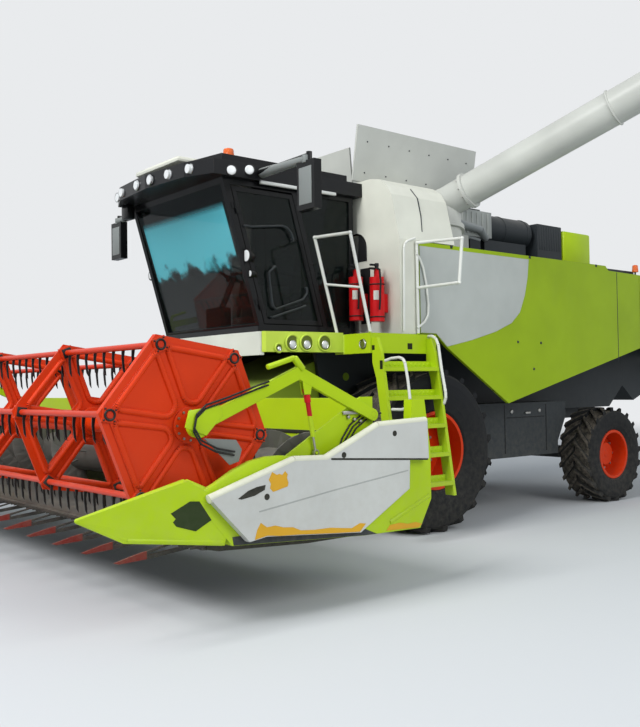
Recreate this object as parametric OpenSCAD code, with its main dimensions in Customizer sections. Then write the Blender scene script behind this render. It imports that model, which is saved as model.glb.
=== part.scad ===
// Combine harvester with a 6.6 m grain header, a six-bar reel and a swinging unloading auger.
// x points to the machine's left, y to its rear and z up. The origin lies on the ground under
// the middle of the front axle. All sizes are in millimetres and all angles in degrees.

/* [Wheels] */
// Distance between the front and the rear axle
wheelbase = 3570; // [3500:10:3650]
// Outer diameter of a front tyre
front_tyre_d = 1790; // [1740:10:1810]
// Width of a front tyre
front_tyre_w = 800; // [740:10:810]
// Diameter of a front rim over its flanges
front_rim_d = 858; // [820:2:900]
// Width of a front rim between its flanges
front_rim_w = 690; // [640:10:700]
// Distance between the middles of the front tyres
front_track = 2580; // [2570:10:2680]
// Outer diameter of a rear tyre
rear_tyre_d = 1270; // [1220:10:1280]
// Width of a rear tyre
rear_tyre_w = 500; // [460:10:520]
// Diameter of a rear rim over its flanges
rear_rim_d = 656; // [620:2:680]
// Width of a rear rim between its flanges
rear_rim_w = 406; // [380:2:410]
// Distance between the middles of the rear tyres
rear_track = 2640; // [2620:10:2700]
// Distance between the two steering pins
kingpin_track = 2000; // [1960:10:2020]
// Height of a tyre's lugs
lug_h = 45; // [25:5:55]
// Thickness of a tyre's wall
tyre_wall = 45; // [30:5:60]
// Height of a rim's flange over the bead seat
rim_flange = 22; // [16:1:28]

/* [Header] */
// Width that the header cuts
cut_w = 6580; // [6400:20:6800]
// Distance of the knife ahead of the front axle
knife_ahead = 3900; // [3860:10:3940]
// Height of the knife over the ground
knife_z = 560; // [540:5:580]
// Radius of the trough round the intake auger
trough_r = 360; // [350:1:375]
// Radius of the intake auger over its flights
flight_r = 330; // [310:1:340]
// Radius of the intake auger's drum
drum_r = 190; // [150:5:210]
// Height of the header's rear wall over the ground
rear_wall_z = 1520; // [1480:10:1560]
// Half the width of the feeder house
feeder_half_w = 720; // [680:5:722]

/* [Reel] */
// Radius of the circle on which the tine bars turn
bat_r = 578; // [560:2:590]
// Length of the reel between the outer faces of its end plates
reel_len = 6432; // [6300:4:6450]
// Angle of the first tine bar from the rear horizontal
first_bat = 111.3; // [100:0.1:130]
// Number of tine bars
bats = 6; // [6:1:6]
// Radius of the reel's centre tube
reel_tube_r = 85; // [70:5:100]
// Radius of a tine bar
bat_tube_r = 22; // [16:1:26]
// Thickness of the reel's pressed plates
reel_plate_t = 12; // [8:1:16]
// Length of a tine below its bar
tine_len = 190; // [150:5:195]

/* [Body] */
// Half the width of the threshing housing
housing_half_w = 780; // [760:5:785]
// Half the width over the side panels
panel_half_w = 1630; // [1615:5:1645]
// Thickness of a side panel
panel_t = 40; // [25:1:45]
// Height of the side panels' top edge
panel_top_z = 3170; // [3165:5:3190]
// Height of the threshing housing's flat top
housing_top_z = 2300; // [2290:5:2310]
// Height of the grain tank's rim
tank_top_z = 3900; // [3860:10:3940]
// Thickness of the grain tank's walls
tank_wall = 40; // [30:1:45]
// Height of a grain tank flap
flap_h = 620; // [560:10:640]
// Lean of a grain tank flap outwards
flap_lean = 10; // [6:1:12]
// Radius of the unloading auger's tube
auger_r = 190; // [170:2:195]
// Length of the unloading auger from its elbow to its end
auger_len = 5300; // [5000:50:5600]

/* [Cab] */
// Half the width of the cab's frame
cab_half_w = 960; // [940:5:970]
// Height of the cab's floor
cab_floor_z = 2160; // [2160:5:2170]
// Height of the underside of the cab's roof
roof_z = 3720; // [3690:5:3740]
// Height of the cab's roof from its underside to its crown
roof_h = 250; // [200:5:280]
// Half the width of the cab's roof
roof_half_w = 1030; // [1010:5:1050]
// Thickness of the cab's glass
glass_t = 8; // [6:1:10]

/* [Hidden] */
$fn = 48;

// Radial clearance of a pin or shaft in its bore
pin_fit = 0.05;
// Clearance between faces that slide past each other
slide_gap = 0.3;
// Clearance between pieces that move past each other
run_gap = 6;

green = "yellowgreen";
pale = "lightgray";
orange = "orangered";
dark = "dimgray";
black = "#1c1d1f";

front_z = front_tyre_d / 2;
rear_z = rear_tyre_d / 2;
front_x = front_track / 2;
rear_x = rear_track / 2;
kingpin_x = kingpin_track / 2;

// Placing helpers: outlines are drawn flat and extruded along one axis between two places
module along_x(x0, x1) translate([x0, 0, 0]) rotate([90, 0, 90]) linear_extrude(x1 - x0) children();
module along_y(y0, y1) translate([0, y1, 0]) rotate([90, 0, 0]) linear_extrude(y1 - y0) children();
module along_z(z0, z1) translate([0, 0, z0]) linear_extrude(z1 - z0) children();
// A block from its lowest to its highest corner
module block(a, b) translate(a) cube(b - a);
// A round bar between two points
module bar(p, q, r) {
  d = q - p;
  len = norm(d);
  translate(p) rotate([0, acos(d.z / len), atan2(d.y, d.x)]) cylinder(h = len, r = r);
}
// A shaft along x
module shaft(x0, x1, y, z, r) translate([x0, y, z]) rotate([0, 90, 0]) cylinder(h = x1 - x0, r = r);
// The same thing on the machine's left and right
module both_sides() {
  children();
  mirror([1, 0, 0]) children();
}
// A flat band along points of an outline, with a round eye at each point
module band(points, w) {
  for (p = points) translate(p) circle(d = w + 2);
  for (i = [0:len(points) - 2]) let (d = points[i + 1] - points[i])
    translate(points[i]) rotate(atan2(d.y, d.x)) translate([0, -w / 2]) square([norm(d), w]);
}
function mix(a, b, t) = a + (b - a) * t;
function reversed(list) = [for (i = [len(list) - 1:-1:0]) list[i]];

// WHEELS

// The side of a tyre as a half ellipse from the rim's flange to the shoulder: [radius, x]
function tyre_side(r0, x0, r1, x1, w_half) = [for (i = [0:6]) let (t = -90 + 30 * i, s = sin(t))
  [mix(r0, r1, (s + 1) / 2), mix(x0, x1, (s + 1) / 2) + (w_half - (x0 + x1) / 2) * cos(t)]];
function flipped(list) = [for (p = reversed(list)) [p[0], -p[1]]];

lug_n = 20;
// Lug width and sweep as angles on a tyre of 1 mm diameter
lug_w = 9000;
lug_sweep = 56;
module tyre(d, w, rim_d, rim_w) {
  seat_r = rim_d / 2 - rim_flange;
  toe = rim_w / 2 - tyre_wall;
  outer = concat([[seat_r, rim_w / 2]],
    tyre_side(rim_d / 2, rim_w / 2, d / 2 - lug_h, w * 0.44, w / 2));
  inner = concat([[seat_r - 1, toe]],
    tyre_side(rim_d / 2 + 10, toe, d / 2 - lug_h - tyre_wall, w * 0.36, w / 2 - tyre_wall));
  rotate([0, 90, 0]) rotate_extrude() difference() {
    polygon(concat(outer, flipped(outer)));
    polygon(concat(inner, flipped(inner)));
  }
  // Chevron lugs, staggered from side to side
  for (s = [0, 1], i = [0:lug_n - 1]) rotate([360 / lug_n * (i + s / 2) - 90, 0, 0]) mirror([s, 0, 0]) rotate([0, 90, 0])
    linear_extrude(height = w * 0.46, twist = -lug_sweep * w / d, slices = 3, segments = 4)
      polygon([for (q = [[0, -0.5], [1, -0.36], [1, 0.36], [0, 0.5]]) let (r = q[0] > 0 ? d / 2 : d / 2 - lug_h - 12)
        [r * cos(q[1] * lug_w / d), r * sin(q[1] * lug_w / d)]]);
}

// Hub and dished disc: disc_x is where the disc meets the hub, hub_x the hub's inner end
rim_t = 14;
hub_r = 150;
module rim(rim_d, rim_w, disc_x, hub_x, bore_r) {
  seat_r = rim_d / 2 - rim_flange;
  lip_x = rim_w / 2 + rim_t;
  well_r = seat_r - rim_t;
  dish = 70;
  rotate([0, 90, 0]) rotate_extrude() polygon([[rim_d / 2, lip_x], [rim_d / 2, rim_w / 2], [seat_r, rim_w / 2],
    [seat_r, -rim_w / 2], [rim_d / 2, -rim_w / 2], [rim_d / 2, -lip_x], [well_r, -lip_x], [well_r, disc_x - dish],
    [hub_r, disc_x], [hub_r, hub_x], [bore_r, hub_x], [bore_r, disc_x], [0, disc_x], [0, disc_x + 60],
    [hub_r, disc_x + 60], [hub_r, disc_x + rim_t], [well_r, disc_x - dish + rim_t], [well_r, lip_x]]);
}

stub_front_r = 60;
stub_rear_r = 50;
front_disc_x = 60;
rear_disc_x = 30;
axle_end_x = 870;
front_hub_x = axle_end_x + run_gap - front_x;
knuckle_face_x = kingpin_x + 120;
rear_hub_x = knuckle_face_x + run_gap - rear_x;

module at_front(s) translate([s * front_x, 0, front_z]) rotate(s > 0 ? 0 : 180) children();
module at_rear(s) translate([s * rear_x, wheelbase, rear_z]) rotate(s > 0 ? 0 : 180) children();
module front_rim(s) color(orange) at_front(s)
  rim(front_rim_d, front_rim_w, front_disc_x, front_hub_x, stub_front_r + pin_fit);
module front_tyre(s) color(black) at_front(s) tyre(front_tyre_d, front_tyre_w, front_rim_d, front_rim_w);
module rear_rim(s) color(orange) at_rear(s)
  rim(rear_rim_d, rear_rim_w, rear_disc_x, rear_hub_x, stub_rear_r + pin_fit);
module rear_tyre(s) color(black) at_rear(s) tyre(rear_tyre_d, rear_tyre_w, rear_rim_d, rear_rim_w);

module rim_front_left() front_rim(1);
module rim_front_right() front_rim(-1);
module tyre_front_left() front_tyre(1);
module tyre_front_right() front_tyre(-1);
module rim_rear_left() rear_rim(1);
module rim_rear_right() rear_rim(-1);
module tyre_rear_left() rear_tyre(1);
module tyre_rear_right() rear_tyre(-1);

// CHASSIS AND AXLES

rail_t = 80;
rail_x = housing_half_w + rail_t;
rail_z = [1100, 1250];
rail_front_y = -900;
rail_rear_y = 2960;
tail_rail_x = [500, 580];
tail_end_y = 4560;
tow_y = 4660;
tow_r = 21;
tow_plate_z = [1130, 1200];
// Feeder pivot, also the axis on which the header lifts
pivot_y = -550;
pivot_z = 1720;
pivot_r = 45;
bracket_x = [feeder_half_w + 15, rail_x - 70];
deck_under_z = cab_floor_z - 80;

module chassis() color(dark) {
  difference() {
    union() {
      both_sides() {
        block([housing_half_w, rail_front_y, rail_z[0]], [rail_x, rail_rear_y, rail_z[1]]);
        // Plate that carries the feeder's pivot and the front of the cab's deck
        along_x(bracket_x[0], housing_half_w) polygon([[-200, rail_z[0]], [-200, deck_under_z],
          [-1000, deck_under_z], [-900, 1500], [rail_front_y, rail_z[0]]]);
        block([tail_rail_x[0], rail_rear_y - 1, rail_z[0]], [tail_rail_x[1], tail_end_y, rail_z[1]]);
        // Bracket of the header's lift cylinder below the front of the rail
        along_x(lift_x - 70, lift_x - 40) polygon(lift_bracket);
        along_x(lift_x + 40, lift_x + 70) polygon(lift_bracket);
      }
      block([-rail_x, rail_rear_y - 80, rail_z[0]], [rail_x, rail_rear_y, rail_z[1]]);
      block([-rail_x, -340, 985], [rail_x, -215, rail_z[0]]);
      block([-580, tail_end_y - 80, rail_z[0]], [580, tail_end_y, rail_z[1]]);
      // Tow coupling: a fork with a vertical pin hole
      for (z = tow_plate_z) block([-90, tail_end_y - 1, z - 15], [90, tow_y + 60, z + 15]);
    }
    shaft(-900, 900, pivot_y, pivot_z, pivot_r + pin_fit);
    translate([0, tow_y, rail_z[0]]) cylinder(h = 200, r = tow_r);
    shaft(-900, 900, lift_foot.x, lift_foot.y, lift_pin_r + pin_fit);
  }
}

module octagon(r) polygon([for (i = [0:7]) r / cos(22.5) * [cos(22.5 + 45 * i), sin(22.5 + 45 * i)]]);
module front_axle() color(dark) {
  block([-700, -130, front_z - 110], [700, 130, front_z + 110]);
  both_sides() {
    along_x(640, axle_end_x) translate([0, front_z]) octagon(rail_z[0] - front_z - slide_gap);
    shaft(axle_end_x, front_x + front_disc_x - 10, 0, front_z, stub_front_r);
  }
}

boss_r = 65;
boss_h = 180;
kingpin_r = 35;
module rear_axle() color(dark) difference() {
  union() {
    block([-kingpin_x, wheelbase - 80, rear_z - 80], [kingpin_x, wheelbase + 80, rear_z + 80]);
    both_sides() translate([kingpin_x, wheelbase, rear_z - boss_h / 2]) cylinder(h = boss_h, r = boss_r);
    // Trunnion block between the axle beam and the chassis tail
    along_x(-150, 150) polygon([[wheelbase - 120, rail_z[0]], [wheelbase + 120, rail_z[0]],
      [wheelbase + 80, rear_z], [wheelbase - 80, rear_z]]);
    block([-500, wheelbase - 120, rail_z[0]], [500, wheelbase + 120, rail_z[1]]);
  }
  for (s = [-1, 1]) translate([s * kingpin_x, wheelbase, rear_z - 200])
    cylinder(h = 400, r = kingpin_r + pin_fit);
  both_sides() difference() {
    block([kingpin_x - 20, wheelbase - 100, rear_z - 90], [kingpin_x + 120, wheelbase + 100, rear_z + 90]);
    translate([kingpin_x, wheelbase, rear_z - 200]) cylinder(h = 400, r = boss_r);
  }
}

fork_z = [boss_h / 2 + run_gap, boss_h / 2 + run_gap + 26];
module knuckle(s) color(dark) translate([s * kingpin_x, wheelbase, rear_z]) rotate(s > 0 ? 0 : 180) {
  translate([0, 0, -fork_z[1]]) cylinder(h = 2 * fork_z[1], r = kingpin_r);
  for (z = [-fork_z[1], fork_z[0]]) {
    translate([0, 0, z]) cylinder(h = 26, r = 55);
    block([0, -55, z], [120, 55, z + 26]);
  }
  block([90, -70, -fork_z[1]], [120, 70, fork_z[1]]);
  shaft(119, rear_x + rear_disc_x - 10 - kingpin_x, 0, 0, stub_rear_r);
}
module knuckle_left() knuckle(1);
module knuckle_right() knuckle(-1);

// BODY

housing_front_y = -200;
housing_rear_y = 5000;
module threshing_housing() color(dark) along_x(-housing_half_w, housing_half_w) polygon([
  [housing_front_y, rail_z[0] + 30], [housing_front_y, housing_top_z], [4300, housing_top_z],
  [housing_rear_y, 2240], [housing_rear_y, 1560], [4640, rail_z[1]],
  [locker_rear_y - 10, rail_z[1]], [locker_rear_y - 20, 700], [980, 700], [560, rail_z[0] + 30]]);

locker_x = [rail_x, 1260];
locker_rear_y = wheelbase - rear_tyre_d / 2 - 55;
module side_lockers() color(dark) both_sides() along_x(locker_x[0], locker_x[1])
  polygon([[1050, 1080], [1050, 1370], [locker_rear_y, 1370], [locker_rear_y, 1170], [locker_rear_y - 175, 850],
    [locker_rear_y - 175, 690], [1240, 690]]);

rail_top_z = panel_top_z - 15;
tank_half_w = panel_half_w - 150;
beam_y = [1500, 2850, 4060];
module upper_frame() color(dark) {
  both_sides() {
    block([tank_half_w, panel_front_y - 5, rail_top_z - 90], [tank_half_w + 70, panel_rear_y, rail_top_z]);
    for (y = beam_y) block([housing_half_w - 80, y, housing_top_z], [housing_half_w, y + 80, rail_top_z - 80]);
    for (y = panel_lug_y) panel_lug(y);
  }
  for (y = beam_y) block([-tank_half_w, y, rail_top_z - 90], [tank_half_w, y + 80, rail_top_z - 20]);
}

// The side panels hang on pins along their outer top edge
panel_in_x = panel_half_w - panel_t;
panel_pin = [panel_half_w - 12, panel_top_z - 12];
panel_pin_r = 7;
panel_lug_y = [300, 1700, 3100];
panel_lug_half = 14;
lug_t = 30;
module panel_lug(y) difference() {
  block([tank_half_w + 69, y, panel_pin.y - panel_lug_half], [panel_pin.x + panel_lug_half, y + lug_t, panel_pin.y + panel_lug_half]);
  translate([panel_pin.x, y - 1, panel_pin.y]) rotate([-90, 0, 0]) cylinder(h = lug_t + 2, r = panel_pin_r + pin_fit);
}

panel_front_y = -200;
panel_rear_y = 4140;
panel_outline = [[panel_front_y, panel_top_z], [3330, panel_top_z], [3400, panel_top_z - 60],
  [panel_rear_y, panel_top_z - 70], [panel_rear_y, 2080], [1260, 1380], [210, 2030], [40, cab_floor_z + 10],
  [panel_front_y, cab_floor_z + 10]];
module side_panel() color(green) {
  difference() {
    along_x(panel_in_x, panel_half_w) polygon(panel_outline);
    for (y = panel_lug_y) block([panel_in_x - 1, y - run_gap, panel_pin.y - panel_lug_half - run_gap],
      [panel_half_w + 1, y + lug_t + run_gap, panel_top_z + 1]);
  }
  for (y = panel_lug_y)
    translate([panel_pin.x, y - 20, panel_pin.y]) rotate([-90, 0, 0]) cylinder(h = lug_t + 40, r = panel_pin_r);
}
module side_panel_left() side_panel();
module side_panel_right() mirror([1, 0, 0]) side_panel();

shoulder_foot_z = panel_top_z + 10;
// Cross outline of the tank's shoulders: [x, z] from the foot to the rim, outer skin
shoulder = [[panel_half_w - 10, cab_floor_z], [panel_half_w - 10, shoulder_foot_z], [panel_half_w - 130, 3680],
  [panel_half_w - 210, 3800], [panel_half_w - 330, 3875], [panel_half_w - 460, tank_top_z]];
skin = 30;
tank_front_y = -450;
tank_rear_y = 1450;
notch_x = 880;
notch_y = 380;
module shoulder_form(in) polygon(concat([for (p = shoulder) [p.x - in, min(p.y, tank_top_z - in)]],
  [for (p = reversed(shoulder)) [in - p.x, min(p.y, tank_top_z - in)]]));

module tank_form(in) {
  block([-tank_half_w + in, tank_front_y + in, housing_top_z + in], [tank_half_w - in, tank_rear_y - in, rail_top_z - 90 - in]);
  intersection() {
    along_y(tank_front_y + in, notch_y - in) shoulder_form(skin + in);
    block([-tank_half_w + in, -2000, housing_top_z + in], [tank_half_w - in, 2000, tank_top_z - skin]);
  }
  intersection() {
    along_y(tank_front_y + in, tank_rear_y - in) shoulder_form(skin + in);
    block([-tank_half_w + in, -2000, housing_top_z + in], [notch_x - in, 2000, tank_top_z - skin]);
  }
}
mouth = [900, -425, 1415];
rim_half_w = 946;
module grain_tank() color(pale) {
  difference() {
    union() {
      difference() {
        union() {
          tank_form(0);
          block([-rim_half_w, tank_front_y, tank_top_z - skin - 1], [rim_half_w, tank_rear_y, tank_top_z]);
        }
        tank_form(tank_wall);
        block([-mouth[0] + 60, mouth[1], 3000], [mouth[0] - 60, mouth[2], 4000]);
      }
      tank_lugs();
    }
    tank_lug_bores();
  }
  // Sloping floors that feed the cross augers
  for (w = [[tank_front_y + tank_wall - 1, 250], [tank_rear_y - tank_wall + 1, 750]])
    along_x(-tank_half_w + tank_wall - 1, tank_half_w - tank_wall + 1)
      polygon([[w[0], housing_top_z + tank_wall - 1], [w[0], 2860], [w[1], housing_top_z + tank_wall - 1]]);
}

// Flaps and boards that raise the tank's rim. hinge_z is the height of all four hinge lines
hinge_z = tank_top_z + 25;
flap_x = 930;
flap_y = [-540, 1430];
board_y = [-400, 1390];
board_h = 420;
board_half_w = 780;
flap_t = 25;
flap_pin_r = 9;
flap_lug_y = [-200, 450, 1100];
board_lug_x = [-500, 500];
tank_lug_t = 30;
module tank_lugs() {
  both_sides() for (y = flap_lug_y)
    block([flap_x - 40, y, tank_top_z - 40], [flap_x + 16, y + tank_lug_t, hinge_z + 16]);
  for (x = board_lug_x) {
    block([x, tank_front_y + 5, tank_top_z - 30], [x + tank_lug_t, board_y[0] + 16, hinge_z + 16]);
    block([x, board_y[1] - 16, tank_top_z - 30], [x + tank_lug_t, tank_rear_y, hinge_z + 16]);
  }
}
module tank_lug_bores() {
  both_sides() translate([flap_x, -600, hinge_z]) rotate([-90, 0, 0]) cylinder(h = 2200, r = flap_pin_r + pin_fit);
  for (y = board_y) shaft(-700, 700, y, hinge_z, flap_pin_r + pin_fit);
}
module flap() color(pale) difference() {
  union() {
    translate([flap_x, flap_y[0], hinge_z]) rotate([-90, 0, 0]) cylinder(h = flap_y[1] - flap_y[0], r = flap_pin_r);
    translate([flap_x, 0, hinge_z]) rotate([0, flap_lean, 0]) block([-flap_t / 2, flap_y[0], 0], [flap_t / 2, flap_y[1], flap_h]);
  }
  for (y = flap_lug_y) difference() {
    block([flap_x - 60, y - run_gap, hinge_z - 40], [flap_x + 60, y + tank_lug_t + run_gap, hinge_z + 50]);
    translate([flap_x, y - 50, hinge_z]) rotate([-90, 0, 0]) cylinder(h = 200, r = flap_pin_r);
  }
}
module flap_left() flap();
module flap_right() mirror([1, 0, 0]) flap();
module board(y, lean) color(pale) difference() {
  union() {
    shaft(-board_half_w, board_half_w, y, hinge_z, flap_pin_r);
    translate([0, y, hinge_z]) rotate([lean, 0, 0]) block([-board_half_w, -10, 0], [board_half_w, 10, board_h]);
  }
  for (x = board_lug_x) difference() {
    block([x - run_gap, y - 60, hinge_z - 40], [x + tank_lug_t + run_gap, y + 60, hinge_z + 50]);
    shaft(x - 50, x + 100, y, hinge_z, flap_pin_r);
  }
}
module board_front() board(board_y[0], 5);
module board_rear() board(board_y[1], -5);

module shoulder_skin() difference() {
  shoulder_form(0);
  shoulder_form(skin);
}
module tank_front() color(pale) {
  difference() {
    along_y(tank_front_y - skin, tank_front_y) shoulder_form(0);
    // Arched opening beside the walkway
    along_y(tank_front_y - 100, tank_front_y + 100) {
      translate([760, 3000]) square([320, 150]);
      translate([920, 3150]) circle(r = 160);
    }
  }
  both_sides() intersection() {
    along_y(tank_front_y - 1, notch_y) shoulder_skin();
    block([rim_half_w, -1000, shoulder_foot_z], [2000, 2000, tank_top_z + 1]);
  }
  both_sides() block([panel_half_w - 10 - skin, tank_front_y - 1, cab_floor_z],
    [panel_half_w - 10, panel_front_y - 10, shoulder_foot_z + 1]);
}

// Unloading auger: knee is where the tube leaves its swivel, dir its direction
knee = [1150, 720, 3765];
auger_az = 14.7;
auger_rise = 20.4;
dir = [cos(auger_rise) * cos(auger_az), cos(auger_rise) * sin(auger_az), sin(auger_rise)];
swivel = [-0.19, 0.15, 1] / norm([-0.19, 0.15, 1]);
turret_len = 330;
// Places its child at the foot of the tube, with z along the swivel's axis
module on_swivel() translate(knee - turret_len * swivel)
  rotate([0, acos(swivel.z), atan2(swivel.y, swivel.x)]) children();
module auger_turret() color(pale) {
  on_swivel() rotate(90) rotate_extrude() polygon([[0, -343], [auger_r, -343], [auger_r, -30],
    [auger_r + 35, -30], [auger_r + 35, -slide_gap], [0, -slide_gap]]);
  block([notch_x, notch_y + 10, rail_top_z - 90], [tank_half_w, 1440, rail_top_z + 10]);
}
module unloading_auger() color(pale) {
  on_swivel() rotate_extrude() polygon([[0, 0], [auger_r + 35, 0], [auger_r + 35, 30], [auger_r, 30],
    [auger_r, turret_len], [0, turret_len]]);
  translate(knee) sphere(r = auger_r + 6);
  bar(knee, knee + auger_len * dir, auger_r);
  bar(knee + 330 * dir, knee + 370 * dir, auger_r + 30);
  // Spout that turns the grain downwards
  tip = knee + (auger_len - auger_r) * dir;
  bar(tip, tip - [0, 0, 450], auger_r - 10);
}

module engine_block() color(dark) block([-500, 2400, housing_top_z], [500, 3700, 2960]);

deck_z = rail_top_z - 20;
module engine_deck() color(dark) {
  block([-tank_half_w, tank_rear_y + 5, deck_z], [tank_half_w, panel_rear_y, deck_z + 15]);
  // Grey duct housing, air cleaner drum and coolers along the left edge
  block([300, 1500, deck_z + 10], [860, 1700, 3860]);
  translate([640, 1730, 3660]) rotate([-90, 0, 0]) cylinder(h = 1060, r = 200);
  block([480, 1850, deck_z + 10], [800, 2700, 3500]);
  block([300, 2860, deck_z + 10], [880, 3400, 3800]);
  block([-860, 1700, deck_z + 10], [200, 3400, 3700]);
}

hood_top = panel_top_z - 70;
hood_outline = [[4150, 2080], [4150, hood_top], [4800, hood_top - 30], [5700, 2760], [6050, 2250], [5900, 2020]];
hood_inner = [[4149, 2000], [4149, hood_top - 40], [4790, hood_top - 70], [5670, 2730], [6000, 2240], [5850, 2000]];
module rear_hood() color(green) {
  difference() {
    along_x(-panel_half_w, panel_half_w) polygon(hood_outline);
    along_x(-panel_in_x, panel_in_x) polygon(hood_inner);
  }
  block([-panel_in_x - 1, 4200, housing_top_z], [panel_in_x + 1, 4290, housing_top_z + 90]);
}

module straw_chopper() color(dark) {
  along_x(-housing_half_w, housing_half_w) polygon([[housing_rear_y, 1560], [housing_rear_y, 2100],
    [5620, 2120], [5760, 1900], [5700, 1480], [5300, 1330]]);
  along_x(-900, 900) polygon([[5690, 1900], [5760, 1920], [6200, 1560], [6160, 1500]]);
}

// CAB

deck_front_y = -1880;
deck_rear_y = tank_front_y - skin;
walk_x = [1080, panel_half_w];
walk_front_y = -930;
module cab_base() color(dark) {
  block([-walk_x[0], deck_front_y, deck_under_z], [walk_x[0], deck_rear_y, cab_floor_z]);
  block([walk_x[0] - 1, walk_front_y, deck_under_z + 20], [walk_x[1], deck_rear_y, cab_floor_z]);
  block([-walk_x[0], deck_front_y + 60, deck_under_z - 60], [walk_x[0], deck_front_y + 160, deck_under_z]);
}

apron_z = [1940, 2180];
fascia_z = [1950, cab_floor_z];
module fascia() color(green) {
  // Apron below the windscreen
  along_z(apron_z[0], apron_z[1]) polygon([[-1080, deck_front_y], [1080, deck_front_y],
    [1060, deck_front_y - 40], [600, deck_front_y - 70], [-600, deck_front_y - 70], [-1060, deck_front_y - 40]]);
  // Curved lamp panels at both sides of the cab's foot
  both_sides() along_z(apron_z[0] + 30, apron_z[1]) polygon([[1080, deck_front_y - 30], [1115, deck_front_y],
    [1190, -1500], [1220, walk_front_y - 20], [1080, walk_front_y - 20], [1080, deck_front_y - 20]]);
  block([1081, walk_front_y - 20, fascia_z[0]], [panel_half_w + 20, walk_front_y, fascia_z[1]]);
  block([panel_half_w, walk_front_y - 1, fascia_z[0]], [panel_half_w + 20, 20, fascia_z[1]]);
}

cab_front_y = -1850;
cab_rear_y = -560;
cab_lean_y = -2280;
post = 60;
sill_z = cab_floor_z + 80;
module side_window() polygon([[cab_front_y + post, sill_z + 20], [cab_rear_y - post, sill_z + 20],
  [cab_rear_y - post, roof_z - 60], [cab_lean_y + post + 30, roof_z - 60]]);
// The left side is split by a leaning post into the door's opening and a fixed window
door_w = 780;
door_lean = cab_lean_y - cab_front_y + 30;
function door_y(z) = door_lean * (z - sill_z - 20) / (roof_z - sill_z - 80);
// The door's outline moved inwards by in, its top edge lowered by drop
module door_form(in, drop = 0) {
  z = [sill_z + 20 + in, roof_z - 60 - in - drop];
  y = [cab_front_y + post + in, cab_front_y + post + door_w - in];
  polygon([[y[0] + door_y(z[0]), z[0]], [y[1] + door_y(z[0]), z[0]], [y[1] + door_y(z[1]), z[1]], [y[0] + door_y(z[1]), z[1]]]);
}
module quarter_window() polygon([[cab_front_y + 2 * post + door_w, sill_z + 20], [cab_rear_y - post, sill_z + 20],
  [cab_rear_y - post, roof_z - 60], [cab_front_y + 2 * post + door_w + door_lean, roof_z - 60]]);
cab_side = [[cab_front_y, sill_z], [cab_rear_y, sill_z], [cab_rear_y, roof_z], [cab_lean_y, roof_z]];
module cab_shell() color(black) {
  block([-cab_half_w, cab_front_y - 20, cab_floor_z], [cab_half_w, cab_rear_y, sill_z]);
  difference() {
    along_x(-cab_half_w, cab_half_w) polygon(cab_side);
    // Inside of the cab, the windscreen's opening, the windows and the doorway
    along_x(-cab_half_w + post, cab_half_w - post) polygon([[cab_front_y + 40, sill_z], [cab_rear_y - 40, sill_z],
      [cab_rear_y - 40, roof_z - 50], [cab_lean_y + 52, roof_z - 50]]);
    along_x(-cab_half_w + post, cab_half_w - post) polygon([[cab_front_y - 40, sill_z + 30], [cab_front_y + 60, sill_z + 30],
      [cab_lean_y + 70, roof_z - 60], [cab_lean_y - 40, roof_z - 60]]);
    along_x(-cab_half_w - 1, 0) side_window();
    along_x(0, cab_half_w + 1) {
      door_form(0);
      quarter_window();
    }
    block([-700, cab_rear_y - 100, 2900], [700, cab_rear_y + 1, roof_z - 120]);
  }
  on_door_edge() for (z = hinge_z_along)
    hinge_leaf(z + knuckle_h + slide_gap, -45, 0, door_pin_r + pin_fit);
}

module cab_glass() color("#9fc4c8", 0.35) {
  along_x(-cab_half_w + post, cab_half_w - post) polygon([[cab_front_y + 22, sill_z + 30], [cab_front_y + 22 + glass_t, sill_z + 30],
    [cab_lean_y + 22 + glass_t, roof_z - 60], [cab_lean_y + 22, roof_z - 60]]);
  along_x(-cab_half_w + 20, -cab_half_w + 20 + glass_t) side_window();
  along_x(cab_half_w - 20 - glass_t, cab_half_w - 20) quarter_window();
  block([-700, cab_rear_y - 24, 2900], [700, cab_rear_y - 24 + glass_t, roof_z - 120]);
}

// The door fills its opening with a running gap and hinges on its front edge
door_gap = 8;
// Its top corner rises as it swings on the leaning hinge line
door_drop = 10;
door_t = 34;
door_pin_r = 7;
door_pin_x = cab_half_w + 14.3;
knuckle_h = 60;
hinge_z_along = [150, 1150];
// Door hinges: z runs along the leaning edge of the doorway
module on_door_edge() translate([0, cab_front_y + post, sill_z + 20])
  rotate([atan(-door_lean / (roof_z - sill_z - 80)), 0, 0]) children();
module hinge_leaf(z, y0, y1, bore) difference() {
  union() {
    block([cab_half_w - 0.5, y0, z], [cab_half_w + 8, y1, z + knuckle_h]);
    translate([door_pin_x, 0, z]) cylinder(h = knuckle_h, r = 14);
  }
  translate([door_pin_x, 0, z - 1]) cylinder(h = knuckle_h + 2, r = bore);
}
module cab_door() color(black) {
  difference() {
    along_x(cab_half_w - door_t, cab_half_w) door_form(door_gap, door_drop);
    along_x(cab_half_w - door_t - 1, cab_half_w + 1) door_form(door_gap + 50, door_drop);
  }
  on_door_edge() for (z = hinge_z_along) {
    difference() {
      hinge_leaf(z, 0, 50, door_pin_r - 1);
      block([cab_half_w - 2, -20, z - 1], [cab_half_w, 9, z + knuckle_h + 1]);
    }
    translate([door_pin_x, 0, z]) cylinder(h = 2 * knuckle_h, r = door_pin_r);
  }
}
module door_glass() color("#9fc4c8", 0.35) along_x(cab_half_w - 20, cab_half_w - 20 + glass_t)
  door_form(door_gap + 50, door_drop);

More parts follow.
